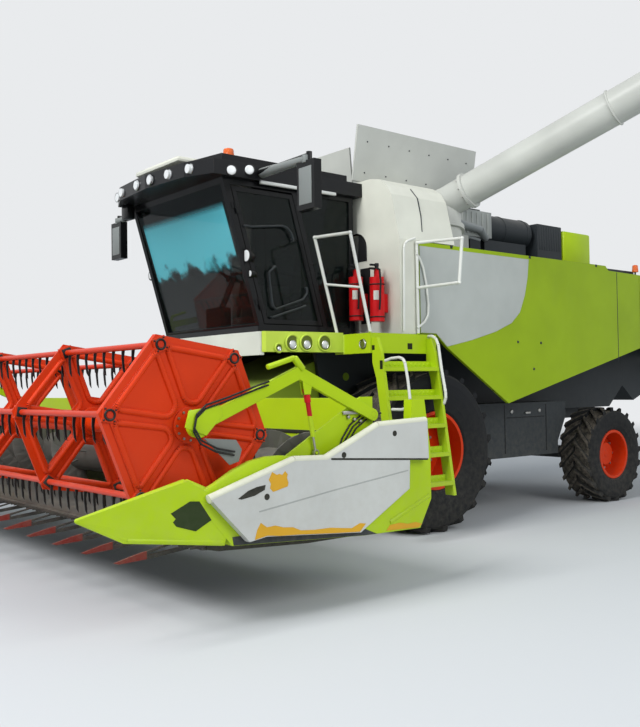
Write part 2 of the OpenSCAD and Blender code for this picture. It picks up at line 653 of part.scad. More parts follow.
lamp_x = [-880, -620, -200, 110, 430, 760];
lamp_r = 45;
roof_edge = [[roof_half_w, -2420], [700, -2560], [0, -2620]];
function roof_front(x) = lookup(-abs(x), [for (p = roof_edge) [-p.x, p.y]]);
module lamp(x, r) bar([x, roof_front(x) + 40, roof_z + 75], [x, roof_front(x) - 25, roof_z + 75], r);
module cab_roof() color(black) difference() {
  union() {
    along_z(roof_z, roof_z + roof_h * 0.6) polygon(concat([[-roof_half_w, -480], [roof_half_w, -480]], roof_edge,
      [for (p = reversed(roof_edge)) [-p.x, p.y]]));
    along_z(roof_z + roof_h * 0.6 - 1, roof_z + roof_h) polygon([[-roof_half_w + 120, -600], [roof_half_w - 120, -600],
      [roof_half_w - 120, -2250], [0, -2400], [-roof_half_w + 120, -2250]]);
  }
  for (x = lamp_x) lamp(x, lamp_r + 3);
}

wheel_at = [0, -1500, 2900];
module cab_interior() color(dark) {
  block([-250, -1250, sill_z], [250, -850, 2560]);
  block([-280, -1300, 2559], [280, -800, 2680]);
  along_x(-260, 260) polygon([[-900, 2679], [-780, 2679], [-680, 3400], [-780, 3420]]);
  // Steering wheel on its column
  translate(wheel_at) rotate([-25, 0, 0]) {
    rotate_extrude() translate([190, 0]) circle(r = 14);
    translate([0, 0, -20]) cylinder(h = 30, r = 45);
    for (a = [30, 150, 270]) rotate(a) block([30, -12, -8], [188, 12, 8]);
    translate([0, 0, -560]) cylinder(h = 545, r = 34);
  }
  block([-150, -1795, sill_z], [150, -1665, 2500]);
}

module cab_lamps() color("white") for (x = lamp_x) lamp(x, lamp_r);

mirror_root = [roof_half_w - 8, -1880, roof_z + 80];
mirror_head = [1945, -1950, roof_z + 60];
module mirror_arm() {
  bar(mirror_root, mirror_head, 24);
  bar(mirror_head + [0, 0, 30], mirror_head - [0, 0, 120], 28);
  block(mirror_head + [-130, -50, -520], mirror_head + [130, 40, -60]);
}
module mirrors() color(black) both_sides() difference() {
  mirror_arm();
  block([0, -3000, roof_z - 10], [roof_half_w, 0, roof_z + roof_h]);
}

// Inner and outer edge of the ladder's side plates by height: [z, x]
ladder_in = [[450, 1900], [1690, 1705], [1850, panel_half_w + 20 + slide_gap], [2110, panel_half_w + 20 + slide_gap]];
ladder_out = [[450, 2020], [1960, 1780], [2110, 1720]];
step_z = [580, 880, 1180, 1480, 1780];
ladder_y = [-910, -120];
rail_r = 17;
gate_y = -250;
module ladder() color(green) {
  for (y = ladder_y) along_y(y - 20, y + 20)
    polygon([for (p = concat(ladder_in, reversed(ladder_out))) [p.y, p.x]]);
  for (z = step_z) block([lookup(z, ladder_in) + 6, ladder_y[0], z - 20], [lookup(z, ladder_out) + 10, ladder_y[1], z + 20]);
  // Rails round the walkway
  for (r = walk_rails) {
    for (i = [0:len(r) - 2]) bar(r[i], r[i + 1], rail_r);
    for (i = [1:len(r) - 2]) translate(r[i]) sphere(r = rail_r + 4);
  }
}
walk_rails = [
  [[1110, -940, cab_floor_z + 4.3], [1095, -1220, 3190], [1635, -1190, 3170], [1638, -940, cab_floor_z + 4.3]],
  [[1646, gate_y, cab_floor_z + slide_gap], [1646, gate_y, 3150], [2300, gate_y, 3110], [2250, gate_y, 2660], [1646, gate_y, 2660]],
];

extinguisher = [[1062, -622, 2330], [1380, -600, 2300]];
module fire_extinguishers() color("firebrick") for (p = extinguisher) {
  translate(p) cylinder(h = 480, r = 78);
  translate(p + [0, 0, 479]) cylinder(h = 90, r = 30);
  block(p + [-40, 60, 100], [p.x + 40, tank_front_y - skin, p.z + 300]);
}

// HEADER

auger_y = -2980;
auger_z = 950;
sheet_t = 14;
wall_y = auger_y + trough_r;
knife_y = -knife_ahead;
header_half_w = cut_w / 2;
arc_a = [for (a = [225:15:360]) a];
// Section of the floor, trough and rear wall as a bent sheet: s is the distance outside its inner face
function sheet_line(s) = concat([[knife_y, knife_z - s]],
  [for (a = arc_a) [auger_y + (trough_r + s) * cos(a), auger_z + (trough_r + s) * sin(a)]], [[wall_y + s, rear_wall_z]]);
low_tube = [[wall_y + 20, 480], [wall_y + 180, 640]];
top_tube = [[wall_y + sheet_t, rear_wall_z - 120], [wall_y + 140, rear_wall_z]];
end_t = 20;
rib_x = [0, 1100, 2200, 3280];
module header_frame() color(green) difference() {
  union() {
    along_x(-header_half_w, header_half_w) polygon(concat(sheet_line(0), reversed(sheet_line(sheet_t))));
    for (t = [low_tube, top_tube]) along_x(-header_half_w, header_half_w) translate(t[0]) square(t[1] - t[0]);
    both_sides() for (x = [feeder_half_w + 10, 1500, 2300]) along_x(x, x + 16) header_rib();
    // End sheets
    both_sides() along_x(header_half_w, header_half_w + end_t) polygon([[knife_y - 40, knife_z - 20], [knife_y - 40, knife_z + 20],
      [-3700, 900], [-3300, 1110], [-2560, rear_wall_z + 10], [low_tube[1].x, rear_wall_z + 10],
      [low_tube[1].x, low_tube[0].y], [-3100, low_tube[0].y], [-3850, knife_z - 40]]);
    both_sides() shaft(header_half_w + end_t - 1, arm_x[1], arm_pivot.x, arm_pivot.y, arm_pin_r);
    both_sides() shaft(header_half_w - 220, header_half_w + 1, auger_y, auger_z, 40);
    // Lower pins of the reel lift cylinders
    both_sides() shaft(header_half_w + end_t - 1, ram_x[1] + 6, reel_foot.x, reel_foot.y, ram_pin_r);
  }
  block([-650, wall_y - 200, 700], [650, wall_y + sheet_t + 1, rear_wall_z - 200]);
}
module header_rib() difference() {
  polygon([[-3800, knife_z - 5], [auger_y - 260, 690], [auger_y, auger_z - trough_r], [wall_y + 8, auger_z],
    [wall_y + 8, rear_wall_z - 60], [top_tube[1].x, rear_wall_z - 60], [low_tube[1].x, low_tube[1].y],
    [low_tube[1].x, low_tube[0].y], [-3150, low_tube[0].y + 20], [-3800, knife_z - 40]]);
  translate([auger_y, auger_z]) circle(r = trough_r + sheet_t / 2);
}

module feeder_house() color(green) {
  difference() {
    along_x(-feeder_half_w, feeder_half_w) {
      polygon([[wall_y + sheet_t + slide_gap, low_tube[1].y + slide_gap], [wall_y + sheet_t + slide_gap, top_tube[0].y - 1],
        [top_tube[1].x, top_tube[0].y - 1], [pivot_y, pivot_z + 300], [pivot_y, pivot_z - 300]]);
      translate([pivot_y, pivot_z]) circle(r = 300);
    }
    block([-650, wall_y, 780], [650, wall_y + 250, rear_wall_z - 200]);
  }
  both_sides() shaft(feeder_half_w - 1, bracket_x[1] - 5, pivot_y, pivot_z, pivot_r);
  // Lugs and pins of the lift rods
  both_sides() {
    for (x = [lift_x - 70, lift_x + 40]) along_x(x, x + 30) polygon(lift_lug);
    shaft(lift_x - 41, lift_x + 41, lift_head.x, lift_head.y, 25);
  }
}

cover_x = [3400, 3460];
module header_covers() color(pale) both_sides() along_x(cover_x[0], cover_x[1])
  polygon([[-4000, 890], [-3700, 580], [-3560, 600], [-2710, 530], [-2200, 810], [-2190, 1030],
    [-1980, 1030], [-1990, 1330], [-2510, 1310], [-3020, 1090], [-3310, 1100]]);

nose_tip = [-4880, 840];
module header_ends() color(green) both_sides() {
  // Nose of the crop divider
  hull() {
    translate([3385, nose_tip.x, nose_tip.y]) sphere(r = 15, $fn = 8);
    along_x(header_half_w + end_t, cover_x[0] - 1) polygon([[-4130, 1020], [-3860, 570], [-3800, 800]]);
    along_x(3370, 3390) polygon([[-4580, 670], [-4560, 700], [-4500, 690]]);
  }
  // Frame behind the cover with a rear column
  along_x(header_half_w + end_t, cover_x[0]) polygon([[-4100, 900], [-3800, 560], [-2620, 490], [-2030, 480],
    [-1900, 700], [-1900, 1100], [-1960, 1500], [-2100, 1500], [-2120, 1060], [-2560, 700], [-3300, 660], [-3700, 760]]);
}

finger_y = knife_y - 130;
lifter_pitch = 505;
lifter_n = 13;
lifter = [[-20, 0], [-20, -26], [-300, -52], [-540, -62], [-575, -50], [-420, -14], [-150, 34], [-150, 22], [-330, -16], [-330, -28], [-70, 0]];
guard_pitch = 76.2;
guard_n = 86;
guard = [[-19, knife_y - 62], [-4, finger_y], [4, finger_y], [19, knife_y - 62]];
module cutterbar() color(dark) {
  block([-header_half_w, knife_y - 60, knife_z - 24], [header_half_w, knife_y, knife_z - 2]);
  // Comb of pointed knife guards
  along_z(knife_z - 16, knife_z) polygon(concat([[header_half_w - 2, knife_y - 50], [-header_half_w + 2, knife_y - 50]],
    [for (i = [0:guard_n - 1], g = guard) [(i - (guard_n - 1) / 2) * guard_pitch + g.x, g.y]]));
  // Crop lifters clamped below the knife bar
  for (i = [0:lifter_n - 1]) let (x = (i - (lifter_n - 1) / 2) * lifter_pitch)
    along_x(x - 7, x + 7) translate([knife_y, knife_z - 24 - slide_gap]) polygon(lifter);
}

flight_x = [700, 3230];
flight_pitch = 560;
module flight() {
  turns = (flight_x[1] - flight_x[0]) / flight_pitch;
  linear_extrude(height = flight_x[1] - flight_x[0], twist = 360 * turns, slices = floor(20 * turns), segments = 4)
    polygon([for (r = [[drum_r - 8, -3], [flight_r, -3], [flight_r, 3], [drum_r - 8, 3]]) r[0] * [cos(r[1]), sin(r[1])]]);
}
module intake_auger() color(pale) {
  difference() {
    union() {
      shaft(-header_half_w + 30, header_half_w - 30, auger_y, auger_z, drum_r);
      // Flights of opposite hands and the fingers between them
      for (s = [0, 1]) mirror([s, 0, 0]) translate([flight_x[0], auger_y, auger_z]) rotate([0, 90, 0]) flight();
      for (i = [0:15]) translate([-600 + 80 * i, auger_y, auger_z]) rotate([110 * i, 0, 0])
        translate([0, 0, drum_r - 5]) cylinder(h = flight_r - drum_r - 5, r = 9);
    }
    for (s = [-1, 1]) shaft(s * (header_half_w - 130) - 110, s * (header_half_w - 130) + 110, auger_y, auger_z, 40 + pin_fit);
  }
}

// REEL

reel_y = -4018;
reel_z = 1368;
arm_pivot = [-2470, 1390];
arm_bend = [-3180, 1715];
arm_pin_r = 25;
reel_shaft_r = 40;
arm_x = [header_half_w + end_t + run_gap, header_half_w + end_t + run_gap + 40];
module reel_arms() color(green) both_sides() {
  along_x(arm_x[0], arm_x[1]) difference() {
    union() {
      band([arm_pivot, arm_bend, [reel_y, reel_z]], 90);
      translate([reel_y, reel_z]) circle(r = 80);
    }
    translate(arm_pivot) circle(r = arm_pin_r + pin_fit);
    translate([reel_y, reel_z]) circle(r = reel_shaft_r + pin_fit);
  }
  // Ears and pin that carry the upper end of the lift cylinder
  for (x = [arm_x[0] + 1, arm_x[1] - 7]) along_x(x, x + 6)
    polygon([[reel_head.x - 28, reel_head.y - 28], [reel_head.x + 28, reel_head.y - 28],
      [reel_head.x + 50, reel_head.y + 80], [reel_head.x - 50, reel_head.y + 100]]);
  shaft(arm_x[0] + 2, arm_x[1] - 2, reel_head.x, reel_head.y, ram_pin_r);
}

// Reel lift cylinders: the barrels hang on the arms, the rods stand on the end sheets
reel_head = [-3110, 1585];
reel_foot = [-3030, 1130];
ram_x = [arm_x[0] + 8, arm_x[1] - 8];
ram_mid_x = (ram_x[0] + ram_x[1]) / 2;
ram_pin_r = 12;
ram_rod_r = 9;
ram_len = norm(reel_foot - reel_head);
ram_dir = (reel_foot - reel_head) / ram_len;
function on_ram(s) = [ram_mid_x, reel_head.x + s * ram_dir.x, reel_head.y + s * ram_dir.y];
module ram_barrels() color(dark) both_sides() {
  difference() {
    union() {
      shaft(ram_x[0], ram_x[1], reel_head.x, reel_head.y, 26);
      bar(on_ram(10), on_ram(60), 11);
      bar(on_ram(50), on_ram(ram_len - 120), 18);
    }
    bar(on_ram(70), on_ram(ram_len), ram_rod_r + pin_fit);
    shaft(ram_x[0] - 1, ram_x[1] + 1, reel_head.x, reel_head.y, ram_pin_r + pin_fit);
  }
}
module ram_rods() color("silver") both_sides() difference() {
  union() {
    bar(on_ram(100), on_ram(ram_len), ram_rod_r);
    shaft(ram_x[0], ram_x[1], reel_foot.x, reel_foot.y, 26);
  }
  shaft(ram_x[0] - 1, ram_x[1] + 1, reel_foot.x, reel_foot.y, 18);
}

hex_r = 650;
star_x = [1720, 220, -1400];
function bat_at(i) = [reel_y + bat_r * cos(first_bat - 60 * i), reel_z + bat_r * sin(first_bat - 60 * i)];
module hexagon(in) translate([reel_y, reel_z]) rotate(first_bat) circle(r = hex_r - in, $fn = 6);
module bat_holes() for (i = [0:bats - 1]) translate(bat_at(i)) circle(r = bat_tube_r + pin_fit);
// Places its child in each bay between two spokes, with x pointing outwards
module in_bays() for (i = [0:bats - 1]) translate([reel_y, reel_z]) rotate(first_bat + 60 * i + 30) children();
bead_line = [[150, -42], [505, -243], [505, 243], [150, 42], [150, -42]];
bead_h = 10;
bearing_t = 16;
module corner_bearings() difference() {
  for (i = [0:bats - 1]) translate(bat_at(i)) rotate(first_bat - 60 * i) square(96, center = true);
  bat_holes();
}
module reel() color(orange) {
  for (s = [0, 1]) mirror([s, 0, 0]) {
    along_x(reel_len / 2 - reel_plate_t, reel_len / 2) difference() {
      hexagon(0);
      bat_holes();
    }
    // Turned edge, pressed beads and the square bearings of the tine bars
    along_x(reel_len / 2 - 45, reel_len / 2 - 1) difference() {
      hexagon(0);
      hexagon(9);
    }
    along_x(reel_len / 2 - 1, reel_len / 2 + bead_h) in_bays() band(bead_line, 22);
    along_x(reel_len / 2 - 1, reel_len / 2 + bearing_t) corner_bearings();
    shaft(reel_len / 2 - 1, reel_len / 2 + 22, reel_y, reel_z, 120);
    shaft(reel_len / 2 - 1, arm_x[1], reel_y, reel_z, reel_shaft_r);
  }
  for (x = star_x) {
    along_x(x, x + reel_plate_t) difference() {
      hexagon(0);
      bat_holes();
      in_bays() polygon([[190, -45], [480, -212], [480, 212], [190, 45]]);
    }
    along_x(x - bead_h, x + 1) in_bays() band(bead_line, 22);
    along_x(x - bearing_t, x + reel_plate_t + bearing_t) corner_bearings();
    shaft(x - 40, x + reel_plate_t + 40, reel_y, reel_z, 110);
  }
  shaft(-reel_len / 2 + 1, reel_len / 2 - 1, reel_y, reel_z, reel_tube_r);
}
tine_pitch = 150;
// Hooked tine below the middle of its bar
tine = [[-13, 0], [-15, -70], [-5, -tine_len + 30], [12, -tine_len], [3, -70], [13, 0]];
module tine_bar(i) color(dark) {
  p = bat_at(i - 1);
  shaft(-reel_len / 2 - 20, reel_len / 2 + 20, p.x, p.y, bat_tube_r);
  for (x = [-21 * tine_pitch:tine_pitch:21 * tine_pitch]) along_x(x - 4, x + 4) translate(p) polygon(tine);
}
module tine_bar_1() tine_bar(1);
module tine_bar_2() tine_bar(2);
module tine_bar_3() tine_bar(3);
module tine_bar_4() tine_bar(4);
module tine_bar_5() tine_bar(5);
module tine_bar_6() tine_bar(6);

// LIFT CYLINDERS between the chassis and the feeder house

lift_x = 560;
lift_foot = [-280, 720];
lift_head = [-1850, 830];
lift_pin_r = 30;
lift_barrel_r = 55;
lift_rod_r = 35;
lift_bracket = [[-340, 1000], [-200, 1000], [-230, 680], [-330, 680]];
lift_lug = [[-1950, 1000], [-1700, 1100], [-1800, 780], [-1900, 780]];
lift_dir = (lift_head - lift_foot) / norm(lift_head - lift_foot);
function on_lift(s) = [lift_x, lift_foot.x + s * lift_dir.x, lift_foot.y + s * lift_dir.y];
module lift_barrels() color(dark) both_sides() {
  shaft(lift_x - 75, lift_x + 75, lift_foot.x, lift_foot.y, lift_pin_r);
  shaft(lift_x - 38, lift_x + 38, lift_foot.x, lift_foot.y, 60);
  difference() {
    union() {
      bar(on_lift(0), on_lift(110), 32);
      bar(on_lift(100), on_lift(950), lift_barrel_r);
    }
    bar(on_lift(150), on_lift(1000), lift_rod_r + pin_fit);
  }
}
module lift_rods() color("silver") both_sides() difference() {
  union() {
    bar(on_lift(400), on_lift(1540), lift_rod_r);
    shaft(lift_x - 38, lift_x + 38, lift_head.x, lift_head.y, 60);
  }
  shaft(lift_x - 39, lift_x + 39, lift_head.x, lift_head.y, 42);
}

chassis();
front_axle();
rear_axle();
threshing_housing();
side_lockers();
upper_frame();
grain_tank();
tank_front();
auger_turret();
engine_block();
engine_deck();
rear_hood();
straw_chopper();
cab_base();
fascia();
cab_shell();
cab_glass();
cab_roof();
cab_interior();
cab_lamps();
mirrors();
ladder();
fire_extinguishers();
unloading_auger();
cab_door();
door_glass();
side_panel_left();
side_panel_right();
flap_left();
flap_right();
board_front();
board_rear();
knuckle_left();
knuckle_right();
rim_front_left();
tyre_front_left();
rim_front_right();
tyre_front_right();
rim_rear_left();
tyre_rear_left();
rim_rear_right();
tyre_rear_right();
feeder_house();
header_frame();
header_ends();
header_covers();
cutterbar();
intake_auger();
reel_arms();
reel();
tine_bar_1();
tine_bar_2();
tine_bar_3();
tine_bar_4();
tine_bar_5();
tine_bar_6();
ram_barrels();
ram_rods();
lift_barrels();
lift_rods();
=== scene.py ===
import math
import bpy
import bmesh
from mathutils import Matrix, Vector


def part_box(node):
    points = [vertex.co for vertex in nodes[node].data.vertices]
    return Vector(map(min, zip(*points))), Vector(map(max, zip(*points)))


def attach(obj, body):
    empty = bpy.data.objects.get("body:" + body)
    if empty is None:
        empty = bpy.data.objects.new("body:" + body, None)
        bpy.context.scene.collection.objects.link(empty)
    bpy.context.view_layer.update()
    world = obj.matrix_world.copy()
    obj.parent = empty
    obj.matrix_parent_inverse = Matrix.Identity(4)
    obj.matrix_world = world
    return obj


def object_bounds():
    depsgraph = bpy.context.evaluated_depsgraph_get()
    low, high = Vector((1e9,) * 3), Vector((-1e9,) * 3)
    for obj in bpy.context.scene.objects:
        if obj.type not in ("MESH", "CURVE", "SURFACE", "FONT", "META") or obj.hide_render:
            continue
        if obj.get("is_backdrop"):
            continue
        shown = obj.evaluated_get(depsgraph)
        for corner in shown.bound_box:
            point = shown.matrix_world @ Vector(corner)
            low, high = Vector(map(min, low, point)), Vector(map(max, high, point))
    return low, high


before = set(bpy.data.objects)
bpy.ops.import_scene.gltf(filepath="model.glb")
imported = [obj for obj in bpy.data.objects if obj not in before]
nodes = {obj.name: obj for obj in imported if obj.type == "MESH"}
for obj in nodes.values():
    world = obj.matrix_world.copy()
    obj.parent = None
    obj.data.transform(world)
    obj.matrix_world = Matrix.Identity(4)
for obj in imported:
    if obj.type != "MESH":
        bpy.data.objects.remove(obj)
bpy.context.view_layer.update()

# STUDIO
# A pale sweep of floor under a soft sky, with a large key lamp ahead of the machine, as on a bright day.
# The camera stands ahead of the left front wheel at the height of a person's eyes.
EYE = (8.458, -7.098, 1.615)
HEADING, PITCH, ROLL = 49.836, 1.634, -0.889
eye = bpy.data.cameras.new("eye")
eye.sensor_width = 36
eye.lens = 44.27
eye.shift_x = -0.0287
eye.shift_y = -0.0041
eye.clip_end = 200
camera = bpy.data.objects.new("eye", eye)
bpy.context.scene.collection.objects.link(camera)
camera.matrix_world = (Matrix.Translation(EYE) @ Matrix.Rotation(math.radians(HEADING), 4, "Z")
                       @ Matrix.Rotation(math.radians(90 + PITCH), 4, "X")
                       @ Matrix.Rotation(math.radians(ROLL), 4, "Z"))
bpy.context.scene.camera = camera
bpy.context.scene.view_settings.view_transform = "Standard"


def colour(code):
    """Turns the hex colour of a screen to the linear values that a shader takes."""
    parts = [int(code[i:i + 2], 16) / 255 for i in (1, 3, 5)]
    return [c / 12.92 if c <= 0.04045 else ((c + 0.055) / 1.055) ** 2.4 for c in parts] + [1]


def add(tree, kind, values=None, links=None, **settings):
    """Adds a node with its settings, the values of its inputs and the sockets linked to them."""
    made = tree.nodes.new(kind)
    for name, value in settings.items():
        setattr(made, name, value)
    for name, value in (values or {}).items():
        made.inputs[name].default_value = value
    for name, socket in (links or {}).items():
        tree.links.new(socket, made.inputs[name])
    return made


def fresh(name, code, roughness=0.5, metallic=0):
    """Starts a material from its plain colour, and gives its node tree and shader with it."""
    material = bpy.data.materials.new(name)
    material.use_nodes = True
    shader = material.node_tree.nodes["Principled BSDF"]
    shader.inputs["Base Color"].default_value = colour(code)
    shader.inputs["Roughness"].default_value = roughness
    shader.inputs["Metallic"].default_value = metallic
    return material, material.node_tree, shader


FLOOR_R = 60
SWEEP = "#E9EBED"
FADE_FROM, FADE_TO = 11, 30
mesh = bmesh.new()
bmesh.ops.create_circle(mesh, cap_ends=True, radius=FLOOR_R, segments=96)
floor = bpy.data.objects.new("floor", bpy.data.meshes.new("floor"))
mesh.to_mesh(floor.data)
mesh.free()
bpy.context.scene.collection.objects.link(floor)
floor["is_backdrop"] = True
ground, tree, shader = fresh("painted_floor", "#C9CCCE", 0.85)
# The far floor rises out of the light into the pale backdrop, so only its camera view is lifted
spot = add(tree, "ShaderNodeTexCoord").outputs["Object"]
away = add(tree, "ShaderNodeVectorMath", operation="LENGTH", links={0: spot})
far = add(tree, "ShaderNodeMapRange", values={"From Min": FADE_FROM, "From Max": FADE_TO},
          links={"Value": away.outputs["Value"]}, interpolation_type="SMOOTHSTEP")
lifted = add(tree, "ShaderNodeMath", operation="MULTIPLY",
             links={0: far.outputs[0], 1: add(tree, "ShaderNodeLightPath").outputs["Is Camera Ray"]})
glow = add(tree, "ShaderNodeEmission", values={"Color": colour(SWEEP), "Strength": 1.0})
sweep = add(tree, "ShaderNodeMixShader",
            links={0: lifted.outputs[0], 1: shader.outputs[0], 2: glow.outputs[0]})
tree.links.new(sweep.outputs[0], tree.nodes["Material Output"].inputs["Surface"])
floor.data.materials.append(ground)

world = bpy.data.worlds.new("sky")
bpy.context.scene.world = world
world.use_nodes = True
tree = world.node_tree
tree.nodes.clear()
rays = add(tree, "ShaderNodeLightPath")
through = add(tree, "ShaderNodeMath", operation="MAXIMUM",
              links={0: rays.outputs["Is Camera Ray"], 1: rays.outputs["Is Transmission Ray"]})
shown = add(tree, "ShaderNodeMath", operation="MAXIMUM",
            links={0: through.outputs[0], 1: rays.outputs["Is Glossy Ray"]})
light = add(tree, "ShaderNodeBackground", values={"Color": colour("#DDE6F0"), "Strength": 0.5})
seen = add(tree, "ShaderNodeBackground", values={"Color": colour(SWEEP), "Strength": 1.0})
mixed = add(tree, "ShaderNodeMixShader", links={0: shown.outputs[0], 1: light.outputs[0], 2: seen.outputs[0]})
add(tree, "ShaderNodeOutputWorld", links={"Surface": mixed.outputs[0]})

# Lamp: name, where it stands, what it looks at, size in metres, power in watts
LAMPS = [("key", (3, -14, 13), (0.5, -1, 1.5), 7, 2500), ("side", (15, -1, 9), (1, 1, 1.5), 8, 900)]
for name, stand, target, size, power in LAMPS:
    lamp = bpy.data.lights.new(name, "AREA")
    lamp.size = size
    lamp.energy = power
    holder = bpy.data.objects.new(name, lamp)
    bpy.context.scene.collection.objects.link(holder)
    holder.location = stand
    holder.rotation_euler = (Vector(target) - Vector(stand)).to_track_quat("-Z", "Y").to_euler()

# PAINTED STEEL
# Pressed sheet and welded steel, sprayed with two-pack enamel: an even gloss over slightly wavy sheet.
# Dust lies on what faces up and low down, and edges show a thin worn line.
DUST = "#A39C8B"
# Two-pack enamel under a thin film of oil and dust mirrors less than clean paint
ENAMEL_MIRROR = 0.22


def dress(node, material):
    """Gives a CAD node its one material."""
    nodes[node].data.materials.clear()
    nodes[node].data.materials.append(material)


def enamel(name, code, roughness=0.32, dust=0.35, worn="#5C5750", wear=0.45, zones=()):
    """Sprayed enamel with faded patches, dust from the field and worn edges.

    A zone is a second colour between two places along one axis: (colour, axis, from, to)."""
    material, tree, shader = fresh(name, code)
    shader.inputs["Specular IOR Level"].default_value = ENAMEL_MIRROR
    place = add(tree, "ShaderNodeTexCoord").outputs["Object"]
    # Faded patches about half a metre wide
    patches = add(tree, "ShaderNodeTexNoise", values={"Scale": 2.1, "Detail": 3}, links={"Vector": place})
    fade = add(tree, "ShaderNodeMapRange", links={"Value": patches.outputs[0]},
               values={"From Min": 0.3, "From Max": 0.7, "To Min": 0.92, "To Max": 1.05})
    tone = add(tree, "ShaderNodeHueSaturation", values={"Color": colour(code)}, links={"Value": fade.outputs[0]})
    sprayed = tone.outputs[0]
    for zone, axis, start, end in zones:
        along = add(tree, "ShaderNodeSeparateXYZ", links={0: place}).outputs[axis]
        inside = add(tree, "ShaderNodeMath", operation="COMPARE",
                     values={1: (start + end) / 2, 2: (end - start) / 2}, links={0: along})
        other = add(tree, "ShaderNodeHueSaturation", values={"Color": colour(zone)},
                    links={"Value": fade.outputs[0]})
        sprayed = add(tree, "ShaderNodeMix", data_type="RGBA",
                      links={"A": sprayed, "B": other.outputs[0], "Factor": inside.outputs[0]}).outputs["Result"]
    # Dust: more on faces that look up and near the ground, broken up by a noise of 60 mm specks
    specks = add(tree, "ShaderNodeTexNoise", values={"Scale": 16, "Detail": 6, "Roughness": 0.65},
                 links={"Vector": place})
    facing = add(tree, "ShaderNodeSeparateXYZ", links={0: add(tree, "ShaderNodeNewGeometry").outputs["Normal"]})
    upward = add(tree, "ShaderNodeMapRange", values={"From Min": 0.2, "From Max": 1, "To Max": 0.8},
                 links={"Value": facing.outputs["Z"]})
    height = add(tree, "ShaderNodeSeparateXYZ", links={0: place})
    splash = add(tree, "ShaderNodeMapRange", values={"From Min": 1.6, "From Max": 0.2, "To Max": 0.7},
                 links={"Value": height.outputs["Z"]})
    laid = add(tree, "ShaderNodeMath", operation="ADD", links={0: upward.outputs[0], 1: splash.outputs[0]})
    broken = add(tree, "ShaderNodeMapRange", links={"Value": specks.outputs[0]},
                 values={"From Min": 0.35, "From Max": 0.75, "To Min": 0.1, "To Max": 1})
    dusty = add(tree, "ShaderNodeMath", operation="MULTIPLY", use_clamp=True,
                links={0: laid.outputs[0], 1: broken.outputs[0]})
    amount = add(tree, "ShaderNodeMath", operation="MULTIPLY", values={1: dust}, links={0: dusty.outputs[0]})
    coated = add(tree, "ShaderNodeMix", data_type="RGBA", values={"B": colour(DUST)},
                 links={"A": sprayed, "Factor": amount.outputs[0]})
    # Worn edges: where a 6 mm rounding of the edge turns the normal
    rounding = add(tree, "ShaderNodeBevel", samples=4, values={"Radius": 0.006})
    bent = add(tree, "ShaderNodeVectorMath", operation="DOT_PRODUCT",
               links={0: rounding.outputs[0], 1: add(tree, "ShaderNodeNewGeometry").outputs["Normal"]})
    edge = add(tree, "ShaderNodeMapRange", values={"From Min": 0.97, "From Max": 0.75, "To Max": wear},
               links={"Value": bent.outputs["Value"]})
    chipped = add(tree, "ShaderNodeMath", operation="MULTIPLY", use_clamp=True,
                  links={0: edge.outputs[0], 1: broken.outputs[0]})
    finished = add(tree, "ShaderNodeMix", data_type="RGBA", values={"B": colour(worn)},
                   links={"A": coated.outputs["Result"], "Factor": chipped.outputs[0]})
    tree.links.new(finished.outputs["Result"], shader.inputs["Base Color"])
    rough = add(tree, "ShaderNodeMapRange", values={"To Min": roughness, "To Max": 0.8},
                links={"Value": amount.outputs[0]})
    tree.links.new(rough.outputs[0], shader.inputs["Roughness"])
    # Sheet waves of about 300 mm and the fine orange peel of the spray, drawn at 12 mm so that it shows
    waves = add(tree, "ShaderNodeTexNoise", values={"Scale": 3.4, "Detail": 1}, links={"Vector": place})
    peel = add(tree, "ShaderNodeTexNoise", values={"Scale": 80}, links={"Vector": place})
    soft = add(tree, "ShaderNodeBump", values={"Strength": 0.25, "Distance": 0.02},
               links={"Height": waves.outputs[0], "Normal": rounding.outputs[0]})
    fine = add(tree, "ShaderNodeBump", values={"Strength": 0.05, "Distance": 0.002},
               links={"Height": peel.outputs[0], "Normal": soft.outputs[0]})
    tree.links.new(fine.outputs[0], shader.inputs["Normal"])
    return material


green = enamel("green_enamel", "#B0CE12", dust=0.25)
# Painted shade: a darker copy of the green enamel for the side panels and rear hood, which face away from the
# light
green_in_shade = enamel("green_painted_shade_enamel", "#93AF06", dust=0.1)
cream = enamel("cream_enamel", "#D9DACD", dust=0.2)
# Painted shade: a greyer copy of the cream enamel for the tank's sides, flaps, boards and unloading auger, which
# face away from the light
cream_in_shade = enamel("cream_painted_shade_enamel", "#BFC1BA", dust=0.2)
# Painted shade: the header's white end covers are painted light grey, as they face away from the light
pale = enamel("cover_white_painted_shade_enamel", "#C9CBC6", dust=0.4)
orange = enamel("orange_enamel", "#D23600", roughness=0.45, dust=0.08)
graphite = enamel("graphite_enamel", "#2D3235", roughness=0.45, dust=0.28, worn="#77736B", wear=0.25)
gloss_black = enamel("black_enamel", "#141516", roughness=0.22, dust=0.12, worn="#4A4A48", wear=0.2)
red = enamel("red_enamel", "#C8161A", dust=0.1)

# Which CAD nodes carry each paint
for coat, painted in (
        (green, ("header_ends", "reel_arms")),
        (green_in_shade, ("rear_hood", "side_panel_left", "side_panel_right")),
        (cream, ("tank_front",)),
        (cream_in_shade, ("grain_tank", "auger_turret", "unloading_auger", "flap_left", "flap_right", "board_front",
                     "board_rear")),
        (graphite, ("chassis", "front_axle", "rear_axle", "threshing_housing", "side_lockers", "upper_frame",
                    "engine_deck", "straw_chopper", "cab_base", "knuckle_left", "knuckle_right", "engine_block",
                    "lift_barrels")),
        (gloss_black, ("cab_shell", "cab_door", "mirrors", "cab_interior")),
        (pale, ("header_covers",)),
        (red, ("fire_extinguishers",)),
        (orange, ("reel", "rim_front_left", "rim_front_right", "rim_rear_left", "rim_rear_right"))):
    for node in painted:
        dress(node, coat)
